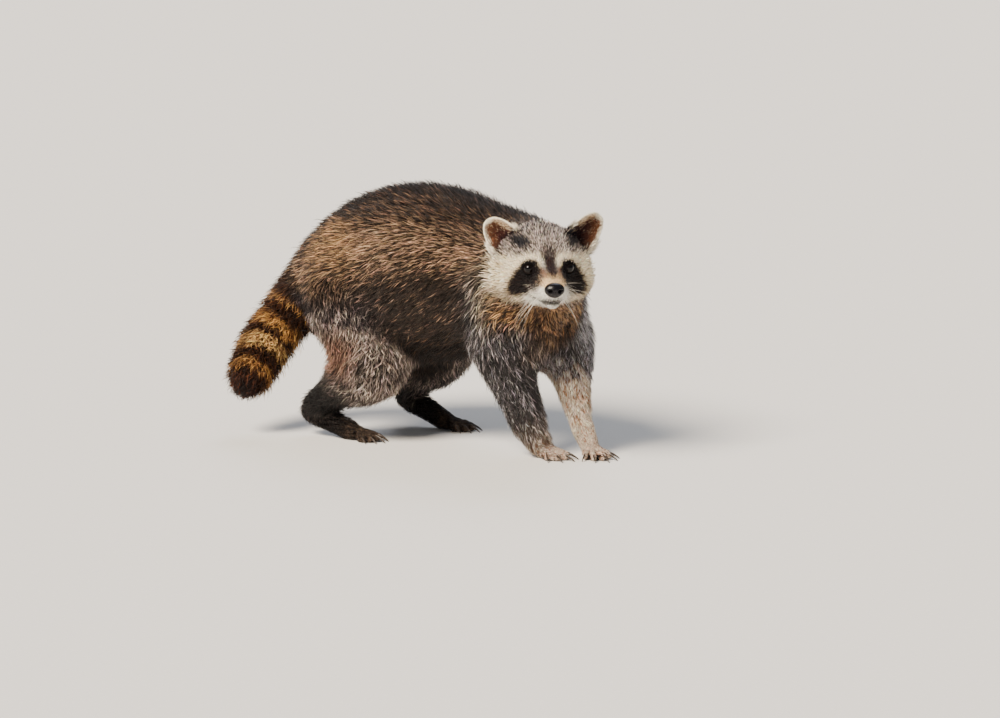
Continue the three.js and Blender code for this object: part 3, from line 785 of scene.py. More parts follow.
def onToes(points):
    # 1 on the toes, ahead of the ball of the foot, and the distance from the line of the nearest toe
    share, gap = np.zeros(len(points)), np.full(len(points), 99.0)
    for ball, roots in toeLines:
        close = np.linalg.norm(points - ball, axis=1) < toeShape["reach"] * mm
        near = np.flatnonzero(close & (points[:, 2] < toeShape["height"] * mm))
        flat = (points[near] - ball)[:, :2] / mm
        for root in roots:
            toe = (root - ball)[:2] / mm
            t = np.clip(flat @ toe / (toe @ toe), 0, 1.2)
            gap[near] = np.minimum(gap[near], np.linalg.norm(flat - t[:, None] * toe, axis=1))
        ahead = unit(np.mean([(root - ball)[:2] for root in roots], axis=0))
        share[near] = ease(*toeShape["ahead"], flat @ ahead) * ease(*toeShape["top"], points[near, 2] / mm)
    return share, gap


def toeClefts(points):
    share, gap = onToes(points)
    return ease(0.4, 1.0, share) * ease(*toeShape["cleft"], gap)


headFur = {"front": 62, "depth": (1.1, 0.055, 0.0006), "cheeks": 0.75, "eyes": (0.45, 0.55)}


def headDepth(local):
    # the coat's depth on the head grows with the distance behind the nose, most of all on the cheeks,
    # and is less round the eyes
    x, y, z = local.T
    behind = np.clip(headFur["front"] - x, 0, 110)
    first, slope, curve = headFur["depth"]
    depth = first + slope * behind + curve * behind ** 2
    cheek = ease(18, 42, abs(y)) * ease(18, -4, z) * ease(34, 6, x)
    atEyes, away = headFur["eyes"]
    return (depth * (1 + headFur["cheeks"] * cheek)) * (atEyes + away * ease(10, 24, eyeDistance(local)))


def headShare(local):
    x, _, z = local.T
    return ease(-46, -14, x) * ease(-92, -62, z) * ease(120, 100, np.linalg.norm(local, axis=1))


# on the head, depth, hair length, spacing and width of tufts start here and grow so much with the depth
headCoat = ((0, 1), (2.2, 2.0), (0.88, 0.1), (0.48, 0.062))


def coatValues(points):
    # the coat's depth, hair length, tuft spacing and tuft width, each in millimetres, at every point
    local = toHead(points)
    body = boneShares(points).T @ np.array([bone[4:8] for bone in bones.values()])
    toes = onToes(points)[0][:, None]
    body = body * (1 - toes) + np.array(bones["foretoesR"][4:8]) * toes
    depth = headDepth(local)
    head = np.stack([start + growth * depth for start, growth in headCoat], 1)
    inHead = headShare(local)[:, None]
    return body * (1 - inHead) + head * inHead


flowShape = {"droop": 0.62, "comesFrom": (92, 0, -22), "cheekDroop": 12, "parting": (1.1, 0.3)}


def lieOfCoat(points, normals):
    # down the bones on body, tail and limbs, drooping on the flanks; away from the nose on the head
    share = boneShares(points)
    flow = share.T @ np.array([unit(joint(end) - joint(start)) for start, end, *_ in bones.values()])
    trunkShare = share[:list(bones).index("tailRoot") + 1].sum(0)
    flow[:, 2] -= flowShape["droop"] * trunkShare * ease(0.15, 0.9, 1 - np.abs(normals[:, 2]))
    local = toHead(points)
    away = local - np.array(flowShape["comesFrom"])
    away[:, 2] -= flowShape["cheekDroop"] * ease(20, 40, abs(local[:, 1])) * ease(10, -20, local[:, 2])
    away = unit(away)
    for middle in eyeMiddles.values():  # the hair parts round each eye
        toEye = middle - local
        near = ease(19, 11, np.linalg.norm(toEye, axis=1))[:, None]
        toEye = unit(toEye)
        turned, always = flowShape["parting"]
        away = away - near * (turned * np.maximum(dot(away, toEye), 0) + always) * toEye
    fromNose = unit(away) @ headAxes
    inHead = headShare(local)[:, None]
    flow = unit(flow) * (1 - inHead) + fromNose * inHead
    return unit(flow - dot(flow, normals) * normals)


def mouthLine(local):
    # 1 on the line between the lips, which runs level round the front and rises a little to its corners
    x, y, z = local.T
    height = -35.5 + 3.5 * ease(66, 38, x)
    return ease(2.6, 0.6, np.abs(z - height)) * ease(36, 42, x) * ease(26, 20, np.abs(y))


def makeHide():
    shape = hideShape
    mesh = remeshed(fleshMesh(), shape["cell"])
    points = readArray(mesh.vertices, "co", 3).astype(float)
    edges = readArray(mesh.edges, "vertices", 2, np.int32)
    values = coatValues(points)
    # facets are smoothed away, less so on face and feet, and what smoothing shrinks is given back
    fine = ease(3.0, 9.0, values[:, 0])[:, None]
    first = points
    keepToes = 1 - 0.75 * onToes(points)[0][:, None]
    points = smoothed(points, edges, shape["limbs"], (0.25 + 0.75 * fine) * keepToes)
    points = smoothed(points, edges, shape["body"], fine)
    normals = meshNormals(mesh, points)
    points = points + normals * smoothed(dot(first - points, normals), edges, shape["lost"])
    normals = unit(smoothed(meshNormals(mesh, points), edges, shape["normals"]))
    # then the skin sinks by the coat's depth, and more between the toes and the lips and behind the nose
    points = points - normals * smoothed(values[:, :1], edges, shape["depth"]) * mm
    points = smoothed(points, edges, shape["sunk"], (0.12 + 0.88 * fine) * keepToes)
    local = toHead(points)
    sunk = shape["cleft"] * toeClefts(points) + shape["mouth"] * mouthLine(local)
    points = points - normals * sunk[:, None] * mm
    underNose = ease(1.03, 0.9, ovalDistance(local, face["nose"], face["noseRadii"]))
    points = points - forward * (shape["underNose"] * underNose * mm)[:, None]
    points[:, 2] = np.maximum(points[:, 2], shape["aboveFloor"] * mm)
    normals = meshNormals(mesh, points)
    print("hide:", len(points), "points")
    return mesh, points, unit(smoothed(normals, edges, shape["endNormals"]))


hideMesh, hidePoints, hideNormals = makeHide()
hideValues = coatValues(hidePoints + hideNormals * 0.004)
hideFlow = lieOfCoat(hidePoints, hideNormals)


# nearest point of the hide, from a table of small cells
def nearestTable(points, cell=4 * mm, margin=36 * mm):
    low = points.min(0) - margin
    size = np.ceil((points.max(0) + margin - low) / cell).astype(int) + 1
    table = np.full(size, -1)
    table[tuple(((points - low) / cell).astype(int).T)] = np.arange(len(points))
    middles = [low[k] + (np.arange(size[k]) + 0.5) * cell for k in range(3)]
    centres = np.stack(np.meshgrid(*middles, indexing="ij"), -1).astype(np.float32)
    spots = points.astype(np.float32)
    best = np.where(table < 0, 1e9, ((centres - spots[table]) ** 2).sum(-1)).astype(np.float32)
    # each cell takes its neighbour's point where that one is nearer, over shorter and shorter steps
    for step in (8, 4, 2, 1, 1):
        for axis in range(3):
            for sign in (-1, 1):
                other = np.roll(table, sign * step, axis)
                gap = np.where(other < 0, 1e9, ((centres - spots[other]) ** 2).sum(-1))
                nearer = gap < best
                table = np.where(nearer, other, table)
                best = np.where(nearer, gap, best)
    return {"low": low, "cell": cell, "table": table, "size": size}


hideTable = nearestTable(hidePoints)


def nearestOnHide(points):
    cells = ((points - hideTable["low"]) / hideTable["cell"]).astype(int)
    return hideTable["table"][tuple(np.clip(cells, 0, hideTable["size"] - 1).T)]


print("table of the hide ready")


# markings: one rule for hide and coat
palette = {name: linear(colour) for name, colour in {
    # the ridge's cool grey light tone is partly the hair's own grey tips and partly a painted bluish sheen
    "ridgeDark": "#050406", "ridgeGreyAndSheen": "#322f36", "backDark": "#080605", "backLight": "#755a46",
    "flankDark": "#0b0705", "flankLight": "#cba483", "rumpLight": "#cc9f72", "sideDark": "#080505",
    "sideLight": "#987a64", "lowDark": "#070505", "lowLight": "#82757a", "bellyDark": "#0b0706",
    "bellyLight": "#3c2a1e", "thighDark": "#0c0706", "thighLight": "#ecd6c8", "rust": "#a56a48",
    "black": "#080606", "charcoal": "#1c1717", "armDark": "#070505", "armLight": "#c8c0c2",
    "creamDark": "#a4683f", "cream": "#fff2dc", "fluff": "#d8d4d8", "footLight": "#efe2d2",
    "footDark": "#6f5c4c", "gold": "#e5a95f", "goldPale": "#f3c581", "goldDark": "#4f2a10",
    "ringDark": "#1e0e07", "tipDark": "#140a08", "tipRust": "#653823", "throat": "#cd9c6c",
    "throatDarkAndJawShadow": "#230f07", "chest": "#1c0f0a", "neckDark": "#0f0806", "neckLight": "#a67c54",
    "ruff": "#f1d9b2", "napeDark": "#0b0807", "napeLight": "#6d5a4a", "white": "#fbf6ea",
    "creamShade": "#f7e3ba", "brow": "#fff4dc", "mask": "#0e090a", "maskBrown": "#2b1a15",
    "maskRust": "#7d4a2b", "crownDark": "#1f1817", "crownLight": "#d9c8bd", "earPatch": "#14141c",
    "earDark": "#15101a", "earRust": "#70452c", "earDeep": "#43190c", "earBack": "#6a5a4f",
    "earRim": "#fbf2dd", "earPale": "#f0d6b2", "stripe": "#1d1014", "stripeBrown": "#3f2620",
    "beige": "#e6bf8e", "muzzleTan": "#fadcae", "lipsAndCleftShade": "#151012",
}.items()}


def waveSet(wavelength, seed):
    # seven waves in random directions, each a little longer or shorter than the others, with its phase
    rng = np.random.default_rng(seed)
    for _ in range(7):
        direction = unit(rng.normal(size=3)) * 2 * math.pi / (wavelength * mm * rng.uniform(0.7, 1.4))
        yield direction, rng.uniform(0, 2 * math.pi)


def waves(points, wavelength, seed):
    # a smooth field of pushes: the slope of a sum of waves, so that pushed points gather in clumps
    pushes = (-np.sin(points @ way + phase)[:, None] * unit(way) for way, phase in waveSet(wavelength, seed))
    return sum(pushes) / math.sqrt(7)


def hills(points, wavelength, seed):
    # the height of the field that waves pushes up: hair tips gather on its hills and part in its valleys
    return sum(np.cos(points @ way + phase) for way, phase in waveSet(wavelength, seed)) / math.sqrt(7)


# the face's markings as outlines seen from the front: millimetres from its middle line, and height
faceOutlines = {
    "mask": [
        (12.5, 9), (18, 12.5), (26, 10.5), (33, 5), (41, -5), (47, -17), (48.5, -27), (44, -33),
        (34, -32.5), (25, -29.5), (20.5, -21), (15.5, -13), (11.5, -4), (9.5, 3),
    ],
    "pale": [
        (6.5, 5), (7, 14), (11, 18.5), (20, 19.5), (31, 16.5), (42, 14.5), (54, 12), (65, 5), (73, -8),
        (73, -22), (62, -36), (48, -43), (30, -42), (18, -34), (10, -20),
    ],
    "stripe": [(-14, 36), (3, 34), (8, 27), (9, 18), (8, 10), (8.5, 4), (7, -2), (4, -5), (-14, -6)],
    "bridge": [(-20, 1), (7, 1), (11, -4), (15, -9), (18, -15), (11, -17), (-20, -17)],
}


def inOutline(side, height, outline, soft):
    # 1 inside a closed outline and 0 outside it, changing over soft millimetres either way
    a = np.array(outline, float)
    b = np.roll(a, -1, axis=0)
    spot = np.stack([side, height], 1)[:, None]
    edge = b - a
    t = np.clip(((spot - a) * edge).sum(-1) / (edge * edge).sum(-1), 0, 1)
    away = np.linalg.norm(spot - a - t[..., None] * edge, axis=-1).min(1)
    crossed = (a[:, 1] > spot[..., 1]) != (b[:, 1] > spot[..., 1])
    reach = a[:, 0] + (spot[..., 1] - a[:, 1]) * edge[:, 0] / np.where(edge[:, 1] == 0, 1e-9, edge[:, 1])
    within = (crossed & (spot[..., 0] < reach)).sum(1) % 2 == 1
    return ease(-soft, soft, np.where(within, away, -away))


def underJawShadow(local):
    # 1 in a painted shadow under the jaw: a dark patch in the middle of the throat, a little to the animal's
    #                                      right, which runs down to the chest
    return ease(1.25, 0.45, ovalDistance(local, (14, -5, -74), (60, 17, 38)))


def layOver(tones, layers):
    # each layer: its amount at every point, its dark tone, its light tone and its share of light hairs
    dark, light, share = tones
    for amount, darkName, lightName, lightShare in layers:
        dark = mix(dark, palette[darkName], amount)
        light = mix(light, palette[lightName], amount)
        share = share + (lightShare - share) * amount
    return dark, light, share


def faceMarkings(local):
    # dark tone, light tone and share of light hairs, for points on the head
    x, y, z = local.T
    side = np.abs(y)
    front = ease(-34, -8, x)

    def within(name, soft):
        return inOutline(side, z, faceOutlines[name], soft)

    tones = [np.tile(palette[name], (len(x), 1)) for name in ("crownDark", "crownLight")]
    ear = np.hypot((side - 33 - 3 * np.sign(y)) / 11, (z - 30.5) / 8)
    return layOver((*tones, np.full(len(x), 0.6)), [
        (ease(44, 56, side) * ease(16, 4, z) * ease(-60, -34, x), "neckDark", "ruff", 0.78),
        (ease(1.3, 0.5, ear) * ease(-10, 4, x), "earPatch", "crownDark", 0.22),
        (within("pale", 4.0) * front, "creamShade", "brow", 0.8),
        (ease(36, 56, side) * ease(-18, -36, z) * front * 0.7, "neckDark", "neckLight", 0.55),
        (ease(-30, -54, z) * ease(60, 46, x) * ease(70, 48, side), "neckDark", "throat", 0.56),
        # painted shadow under the jaw
        (underJawShadow(local) * ease(-34, -44, z), "throatDarkAndJawShadow", "throat", 0.14),
        (ease(40, 54, x) * ease(34, 26, side), "white", "white", 0.95),
        (ease(-16, -26, z) * ease(14, 36, x) * ease(-47, -41, z) * ease(34, 24, side),
         "white", "white", 0.95),
        (ease(-42, -47, z) * ease(40, 56, x), "creamDark", "cream", 0.7),
        (within("bridge", 2.5) * ease(34, 44, x), "beige", "muzzleTan", 0.7),
        (within("mask", 5.5) * front * 0.7, "maskRust", "maskRust", 0.6),
        (within("mask", 2.4) * front, "mask", "maskBrown", 0.22),
        (within("stripe", 4.0) * ease(36, 12, z) * ease(-2, 10, x), "stripe", "stripeBrown", 0.3),
        (ease(4.0, 0.8, np.abs(side - 11.6)) * ease(1, 7, z) * ease(22, 12, z) * front * 0.7,
         "creamShade", "brow", 0.7),
        (ease(3.2, 1.0, np.abs(side - 9.5)) * ease(-8, -4, z) * ease(5, 1, z) * front * 0.75,
         "maskRust", "maskRust", 0.4),
        (ease(13, 10.5, eyeDistance(local)), "mask", "mask", 0.1),
        (mouthLine(local) * 0.9, "lipsAndCleftShade", "lipsAndCleftShade", 0.1),
        (ease(14, 8, side) * ease(-40, -38, z) * ease(-29.5, -32.5, z) * ease(56, 64, x) * 0.8,
         "lipsAndCleftShade", "charcoal", 0.3),
    ])


bodyTones = {  # degrees round the trunk from the top of the back: dark tone, light tone, share of light hairs
    # on the ridge, the light tone is partly grey tips and partly a painted bluish sheen
    0: ("ridgeDark", "ridgeGreyAndSheen", 0.15), 22: ("ridgeDark", "backLight", 0.16),
    38: ("backDark", "backLight", 0.50), 54: ("flankDark", "flankLight", 0.54),
    # from the flanks down, the light hairs thin out and the belly's tones are dark: partly the coat's own
    # colour, partly painted shade under the body
    74: ("flankDark", "flankLight", 0.40), 92: ("sideDark", "sideLight", 0.25),
    112: ("lowDark", "lowLight", 0.22), 134: ("bellyDark", "bellyLight", 0.30),
    180: ("bellyDark", "bellyLight", 0.25),
}
tailBones = ("tail1", "tail2", "tail3", "tailTip")
tailShape = {  # millimetres from the tail's root: middles of the golden rings with their half widths
    "rings": ((65, 9), (103, 8), (142, 8), (178, 5)), "pale": (120, 134, 150, 164), "tip": 206, "furred": 14,
    "tipSpot": (-232, -130, 62), "spotRadius": 17,  # the black tuft, turned towards the viewer
}


def alongTail(points):
    # distance from the tail's root, measured along its bones, and the way out from them, in millimetres
    reach = np.zeros(len(points))
    outward = np.zeros_like(points)
    nearest = np.full(len(points), 1e9)
    walked = 0.0
    for name in tailBones:
        a, b = joint(bones[name][0]), joint(bones[name][1])
        t, away = alongBone(points, a, b)
        length = np.linalg.norm(b - a) / mm
        closer = away < nearest
        reach = np.where(closer, walked + t * length, reach)
        outward = np.where(closer[:, None], (points - a - t[:, None] * (b - a)) / mm, outward)
        nearest = np.minimum(nearest, away)
        walked += length
    # past the last bone the way on counts too
    return reach + np.maximum((points - b) @ unit(b - a), 0) / mm, outward


def bodyMarkings(points):
    place = (points - shift) / mm
    x, y, z = place.T
    width = np.abs(y)
    local = toHead(points)
    part = dict(zip(bones, boneShares(points)))
    axisHeight = 200 - 18 * ease(-60, -190, x) - 10 * ease(60, 120, x)
    around = np.degrees(np.arctan2(width, z - axisHeight))  # 0 on the back, 90 on the side, 180 on the belly
    rows = [np.hstack([palette[darkName], palette[lightName], portion])
            for darkName, lightName, portion in bodyTones.values()]
    blended = np.stack([np.interp(around, list(bodyTones), column) for column in np.array(rows).T], 1)

    def of(*names):
        return sum(part[name] for name in names)

    def spot(centre, radii, power=1.0):
        # 1 in the middle of a soft oval, on both sides of the body, 0 outside it
        return ease(1.15, 0.35, ovalDistance(np.stack([x, width, z], 1), centre, radii)) * power

    trunk, tail, front = of("withers", "back", "rump"), of(*tailBones), of("neck", "withers").clip(0, 1)
    arms, thigh, shank = of("armR", "armL"), of("thighR", "thighL"), of("shankR", "shankL")
    dark, light, lightShare = layOver((blended[:, :3], blended[:, 3:6], blended[:, 6]), [
        (spot((-135, 70, 232), (70, 70, 46)) * of("rump", "tailRoot"), "flankDark", "rumpLight", 0.58),
        (spot((10, 90, 172), (96, 60, 60), 0.95) * trunk, "sideDark", "sideLight", 0.1),
    ])
    lightShare = lightShare - 0.1 * ease(-90, 30, x) * trunk * ease(20, 50, around)
    throat = ease(-30, -52, local[:, 2]) * ease(-70, -30, local[:, 0]) * ease(70, 40, np.abs(local[:, 1]))
    chest = ease(1.2, 0.5, ovalDistance(place, (158, -52, 126), (44, 28, 34)))
    ragged = z + 12 * hills(points, 14, 24)
    low = ease(178, 128, z + 14 * hills(points, 20, 25))
    inside = ease(44, 24, width) * ease(150, 120, z)
    # rings of the tail, brightest underneath and at its sides
    reach, outward = alongTail(points)
    reach = reach + 4.0 * waves(points, 22, 22)[:, 1]
    upper = ease(4, 30, -outward[:, 0] + 0.3 * outward[:, 2])
    rings = [ease(half + 6, half - 5, np.abs(reach - middle)) for middle, half in tailShape["rings"]]
    golden = np.max(rings, axis=0) * (1 - 0.6 * upper)
    paleFrom, paleFull, paleLast, paleEnd = tailShape["pale"]
    pale = ease(paleFrom, paleFull, reach) * ease(paleEnd, paleLast, reach)
    atTail = tail * ease(tailShape["furred"], tailShape["furred"] + 20, reach + 20)
    fromTip = np.linalg.norm(place - tailShape["tipSpot"], axis=1) / tailShape["spotRadius"]
    dark, light, lightShare = layOver((dark, light, lightShare), [
        (part["neck"] * ease(60, 96, around), "neckDark", "neckLight", 0.24),
        (part["neck"] * ease(60, 30, around), "napeDark", "napeLight", 0.5),
        (spot((84, 80, 205), (30, 60, 62), 0.9) * front, "neckDark", "neckLight", 0.22),
        (throat * front, "neckDark", "throat", 0.46),
        # painted shadow under the jaw, running down to the chest
        (underJawShadow(local) * front, "throatDarkAndJawShadow", "throat", 0.14),
        (ease(172, 148, z) * ease(70, 100, x) * ease(46, 22, np.abs(y + 14)) * front,
         "chest", "throatDarkAndJawShadow", 0.4),
        (arms, "armDark", "armLight", 0.3),
        (arms * (ease(26, 8, width) * ease(176, 150, z)), "chest", "throatDarkAndJawShadow", 0.35),
        (chest * 0.85, "chest", "throat", 0.16),
        (part["forearmR"], "armDark", "armLight", 0.15),
        (part["forearmL"], "armDark", "armLight", 0.4),
        (of("forearmL", "armL") * ease(16, 34, y), "armDark", "fluff", 0.4),
        (ease(10, 34, y) * ease(118, 138, x) * ease(100, 122, z) * ease(206, 184, z) * 0.8,
         "neckDark", "fluff", 0.6),
        (of("forearmL", "forefootL") * ease(112, 78, ragged) * ease(34, 16, y), "creamDark", "cream", 0.83),
        (part["forefootR"], "footDark", "footLight", 0.6),
        (part["forefootL"], "creamDark", "cream", 0.8),
        (of("foretoesR", "foretoesL"), "creamDark", "footLight", 0.8),
        (thigh * low, "thighDark", "thighLight", 0.6),
        (shank, "thighDark", "thighLight", 0.45),
        (spot((-118, 84, 110), (46, 70, 40), 0.75) * (thigh + shank), "flankDark", "rust", 0.6),
        (shank * ease(-104, -150, x) * ease(100, 62, z), "black", "charcoal", 0.25),
        (shank * ease(-70, -112, x) * ease(92, 46, z), "black", "charcoal", 0.3),
        # the inner sides of the hind legs, between them and under the body, are dark: partly the coat's own
        # colour, partly painted shade
        ((thigh + shank) * inside, "black", "bellyLight", 0.2),
        # painted shade: the outer side of the left hind leg, turned away from the light, gets darker tones
        # and fewer light hairs
        (of("thighL", "shankL") * ease(30, 50, y) * 0.25, "bellyDark", "lowLight", 0.3),
        (of("hindfootR", "hindfootL"), "black", "charcoal", 0.35),
        (of("hindtoesR", "hindtoesL"), "charcoal", "footDark", 0.5),
        # painted shade: dark in the clefts between the toes
        (toeClefts(points), "lipsAndCleftShade", "lipsAndCleftShade", 0.1),
        (atTail * (1 - golden), "ringDark", "goldDark", 0.4),
        (atTail * golden, "goldDark", "gold", 0.7),
        (atTail * golden * pale * 0.8, "goldDark", "goldPale", 0.8),
        (tail * ease(tailShape["tip"] - 24, tailShape["tip"] - 4, reach) * 0.8, "tipDark", "tipRust", 0.5),
        (tail * ease(1.2, 0.7, fromTip), "tipDark", "ringDark", 0.3),
    ])
    # the share of light hairs drifts slowly, and its 13 mm and 6 mm terms follow the hills that gather the
    # clumps: more light hairs on the crests and fewer in the partings, as painted light and shade
    drift = hills(points, 46, 21) * 0.08 + hills(points, 13, 5) * 0.12 + hills(points, 6, 6) * 0.08
    return dark, light, np.clip(lightShare + drift * ease(0.9, 0.7, lightShare), 0, 1)


def markings(points):
    local = toHead(points)
    inHead = headShare(local)
    dark, light, share = bodyMarkings(points)
    headDark, headLight, headPart = faceMarkings(local)
    onFace = inHead > 0
    amount = inHead[onFace]
    dark[onFace] = mix(dark[onFace], headDark[onFace], amount)
    light[onFace] = mix(light[onFace], headLight[onFace], amount)
    share[onFace] += (headPart[onFace] - share[onFace]) * amount
    return dark, light, share


earFinish = materialOf(earLook)
makeEar(-1, "ear_right", earFinish)
makeEar(1, "ear_left", earFinish)
print("ears made")


# materials
hairLook = {"stretch": (5.0, 1.1, 40.0), "vary": (0.75, 1.25)}  # five hairs across a lock


def coatMaterial():
    # mammal hair in locks: soft keratin gloss along the strands, fine streaks from root to tip
    material, tree = newMaterial("raccoon hair")
    lock = addNode(tree, "Attribute", {"attribute_name": "lock"})
    stretch = addNode(tree, "VectorMath", {"operation": "MULTIPLY"}, i0=lock.outputs["Vector"])
    stretch.inputs[1].default_value = hairLook["stretch"]
    streaks = {"Scale": 1.0, "Detail": 2.0, "Roughness": 0.6}
    strands = addNode(tree, "TexNoise", streaks, Vector=stretch.outputs[0])
    painted = addNode(tree, "Attribute", {"attribute_name": "coatColour"}).outputs["Color"]
    shade = varied(tree, painted, strands.outputs["Fac"], *hairLook["vary"])
    gloss = {"Roughness": 0.5, "Specular IOR Level": 0.22, "Sheen Weight": 0.03, "Sheen Roughness": 0.4}
    finishMaterial(tree, gloss, Base_Color=shade)
    return material


hideLook = {  # skin and woolly underfur seen between the tufts: dull, darker than the hair tips
    "name": "hide and underfur", "grain": ("TexNoise", 900.0, 3.0), "painted": "coatColour",
    "vary": (0.6, 1.2), "bump": (0.6, 0.0006), "settings": {"Roughness": 0.85, "Specular IOR Level": 0.1},
}


hairMaterial = coatMaterial()

hide = linked("hide", hideMesh)
hideMesh.materials.clear()
hideMesh.materials.append(materialOf(hideLook))
hideMesh.polygons.foreach_set("use_smooth", np.full(len(hideMesh.polygons), True))
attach(hide, "root")
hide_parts(*fleshNodes)
darkTone, lightTone, lightPart = markings(hidePoints + hideNormals * hideValues[:, :1] * mm)
hideTone = mix(darkTone, lightTone, lightPart * (0.75 - 0.6 * ease(2, 8, hideValues[:, 0])))
paint(hide, "coatColour", hideTone)
print("hide marked")


# unwrap of the hide, which gives each tuft its place on the OFBake map
def unwrapHide():
    bpy.context.view_layer.objects.active = hide
    hide.select_set(True)
    bpy.ops.object.mode_set(mode="EDIT")
    bpy.ops.mesh.select_all(action="SELECT")
    bpy.ops.uv.smart_project(angle_limit=math.radians(66), island_margin=0.002)
    bpy.ops.object.mode_set(mode="OBJECT")
    hide.select_set(False)
    return readArray(hideMesh.uv_layers.active.data, "uv", 2)


hideUV = unwrapHide()
print("hide unwrapped")


# tufts
def barePlaces(points):
    # 1 where no hair grows: under the nose pad, on the eyes as far as the lids' edges, and on the soles
    local = toHead(points)
    bare = ease(1.08, 1.0, ovalDistance(local, face["nose"], face["noseRadii"]))
    for side, middle in eyeMiddles.items():
        offset = local - middle
        away = np.linalg.norm(offset, axis=1)
        gaze, out, up = (offset @ axis / np.maximum(away, 1e-6) for axis in eyeAxes(side))
        edge = lidOpening(np.arctan2(up, out) - math.radians(lidShape["tilt"])) + lidShape["furEdge"]
        angle = np.degrees(np.arccos(np.clip(gaze, -1, 1)))
        bare = np.maximum(bare, ease(edge + 4, edge, angle) * (away < lidShape["bareReach"]))
    return np.maximum(bare, ease(3.0, 1.5, points[:, 2] / mm))


def scatterRoots(spacing):
    # triangles of the hide get roots in proportion to their area and to how close tufts stand there
    hideMesh.calc_loop_triangles()
    corners = readArray(hideMesh.loop_triangles, "vertices", 3, np.int32)
    loops = readArray(hideMesh.loop_triangles, "loops", 3, np.int32)
    count = len(corners)
    a, b, c = (hidePoints[corners[:, k]] for k in range(3))
    area = np.linalg.norm(np.cross(b - a, c - a), axis=1) / 2 / mm ** 2
    wanted = area / spacing[corners].mean(1) ** 2 * (1 - barePlaces((a + b + c) / 3))
    tufts = np.floor(wanted + chance.random(count)).astype(int)
    triangle = np.repeat(np.arange(count), tufts)
    u, v = chance.random((2, len(triangle)))
    over = u + v > 1
    u, v = np.where(over, 1 - u, u), np.where(over, 1 - v, v)
    weights = np.stack([1 - u - v, u, v], 1)[:, :, None]
    corner = corners[triangle]
    return {
        "point": (hidePoints[corner] * weights).sum(1),
        "normal": unit((hideNormals[corner] * weights).sum(1)),
        "values": (hideValues[corner] * weights).sum(1),
        "uv": (hideUV[loops[triangle]] * weights).sum(1),
    }


tuftShape = {
    "rise": 1.3, "ridge": 0.34, "buried": 0.6, "patch": 0.003,
    "clumpTurn": 14, "clumpPull": 1.7, "clumpSizes": (13, 6),
    "stray": (8, 20), "curl": (0.5, 2.4),  # degrees and millimetres, on smooth and on curly places
    "tall": (0.1, 0.14), "wisps": (0.06, 1.15, 1.45),  # shares of the hairs that stand out, and how far
    "length": (0.78, 1.15), "width": (0.7, 1.25), "slope": 1.15,  # how far hairs vary, and the steepest ones
    "curlDepth": 10, "clumpDepth": 8,  # a shallower coat curls and clumps less
}
tuftKinds = {
    # where the rings of three points stand along the hair and their widths; depth, length, width and spacing
    "fine": {
        "rings": (0.55,), "widths": (1.0,), "depth": (0.58, 1.0), "long": 1.0, "wide": 1.0, "apart": 1.0,
    },
    "guard": {
        "rings": (0.42, 0.76), "widths": (1.0, 0.8), "depth": (0.8, 1.1), "long": 1.12, "wide": 1.15,
        "apart": 2.3,
    },
}


def curliness(points):
    # 1 on thighs, low flank and tail, where the coat is tousled, less on the forelegs and least elsewhere
    x, _, z = ((points - shift) / mm).T
    part = dict(zip(bones, boneShares(points)))
    rear = ease(30, -60, x) * ease(196, 150, z)
    legs = part["armR"] + part["armL"] + part["forearmR"] + part["forearmL"]
    return np.clip(0.2 + 0.9 * rear + 0.55 * legs, 0, 1) * ease(3, 9, coatDepth(points))


def coatDepth(points):
    return hideValues[nearestOnHide(points), 0]


def clumped(field, points):
    # two sizes of clumps in one field of waves or hills
    large, small = tuftShape["clumpSizes"]
    return field(points, large, 5) + 0.8 * field(points, small, 6)


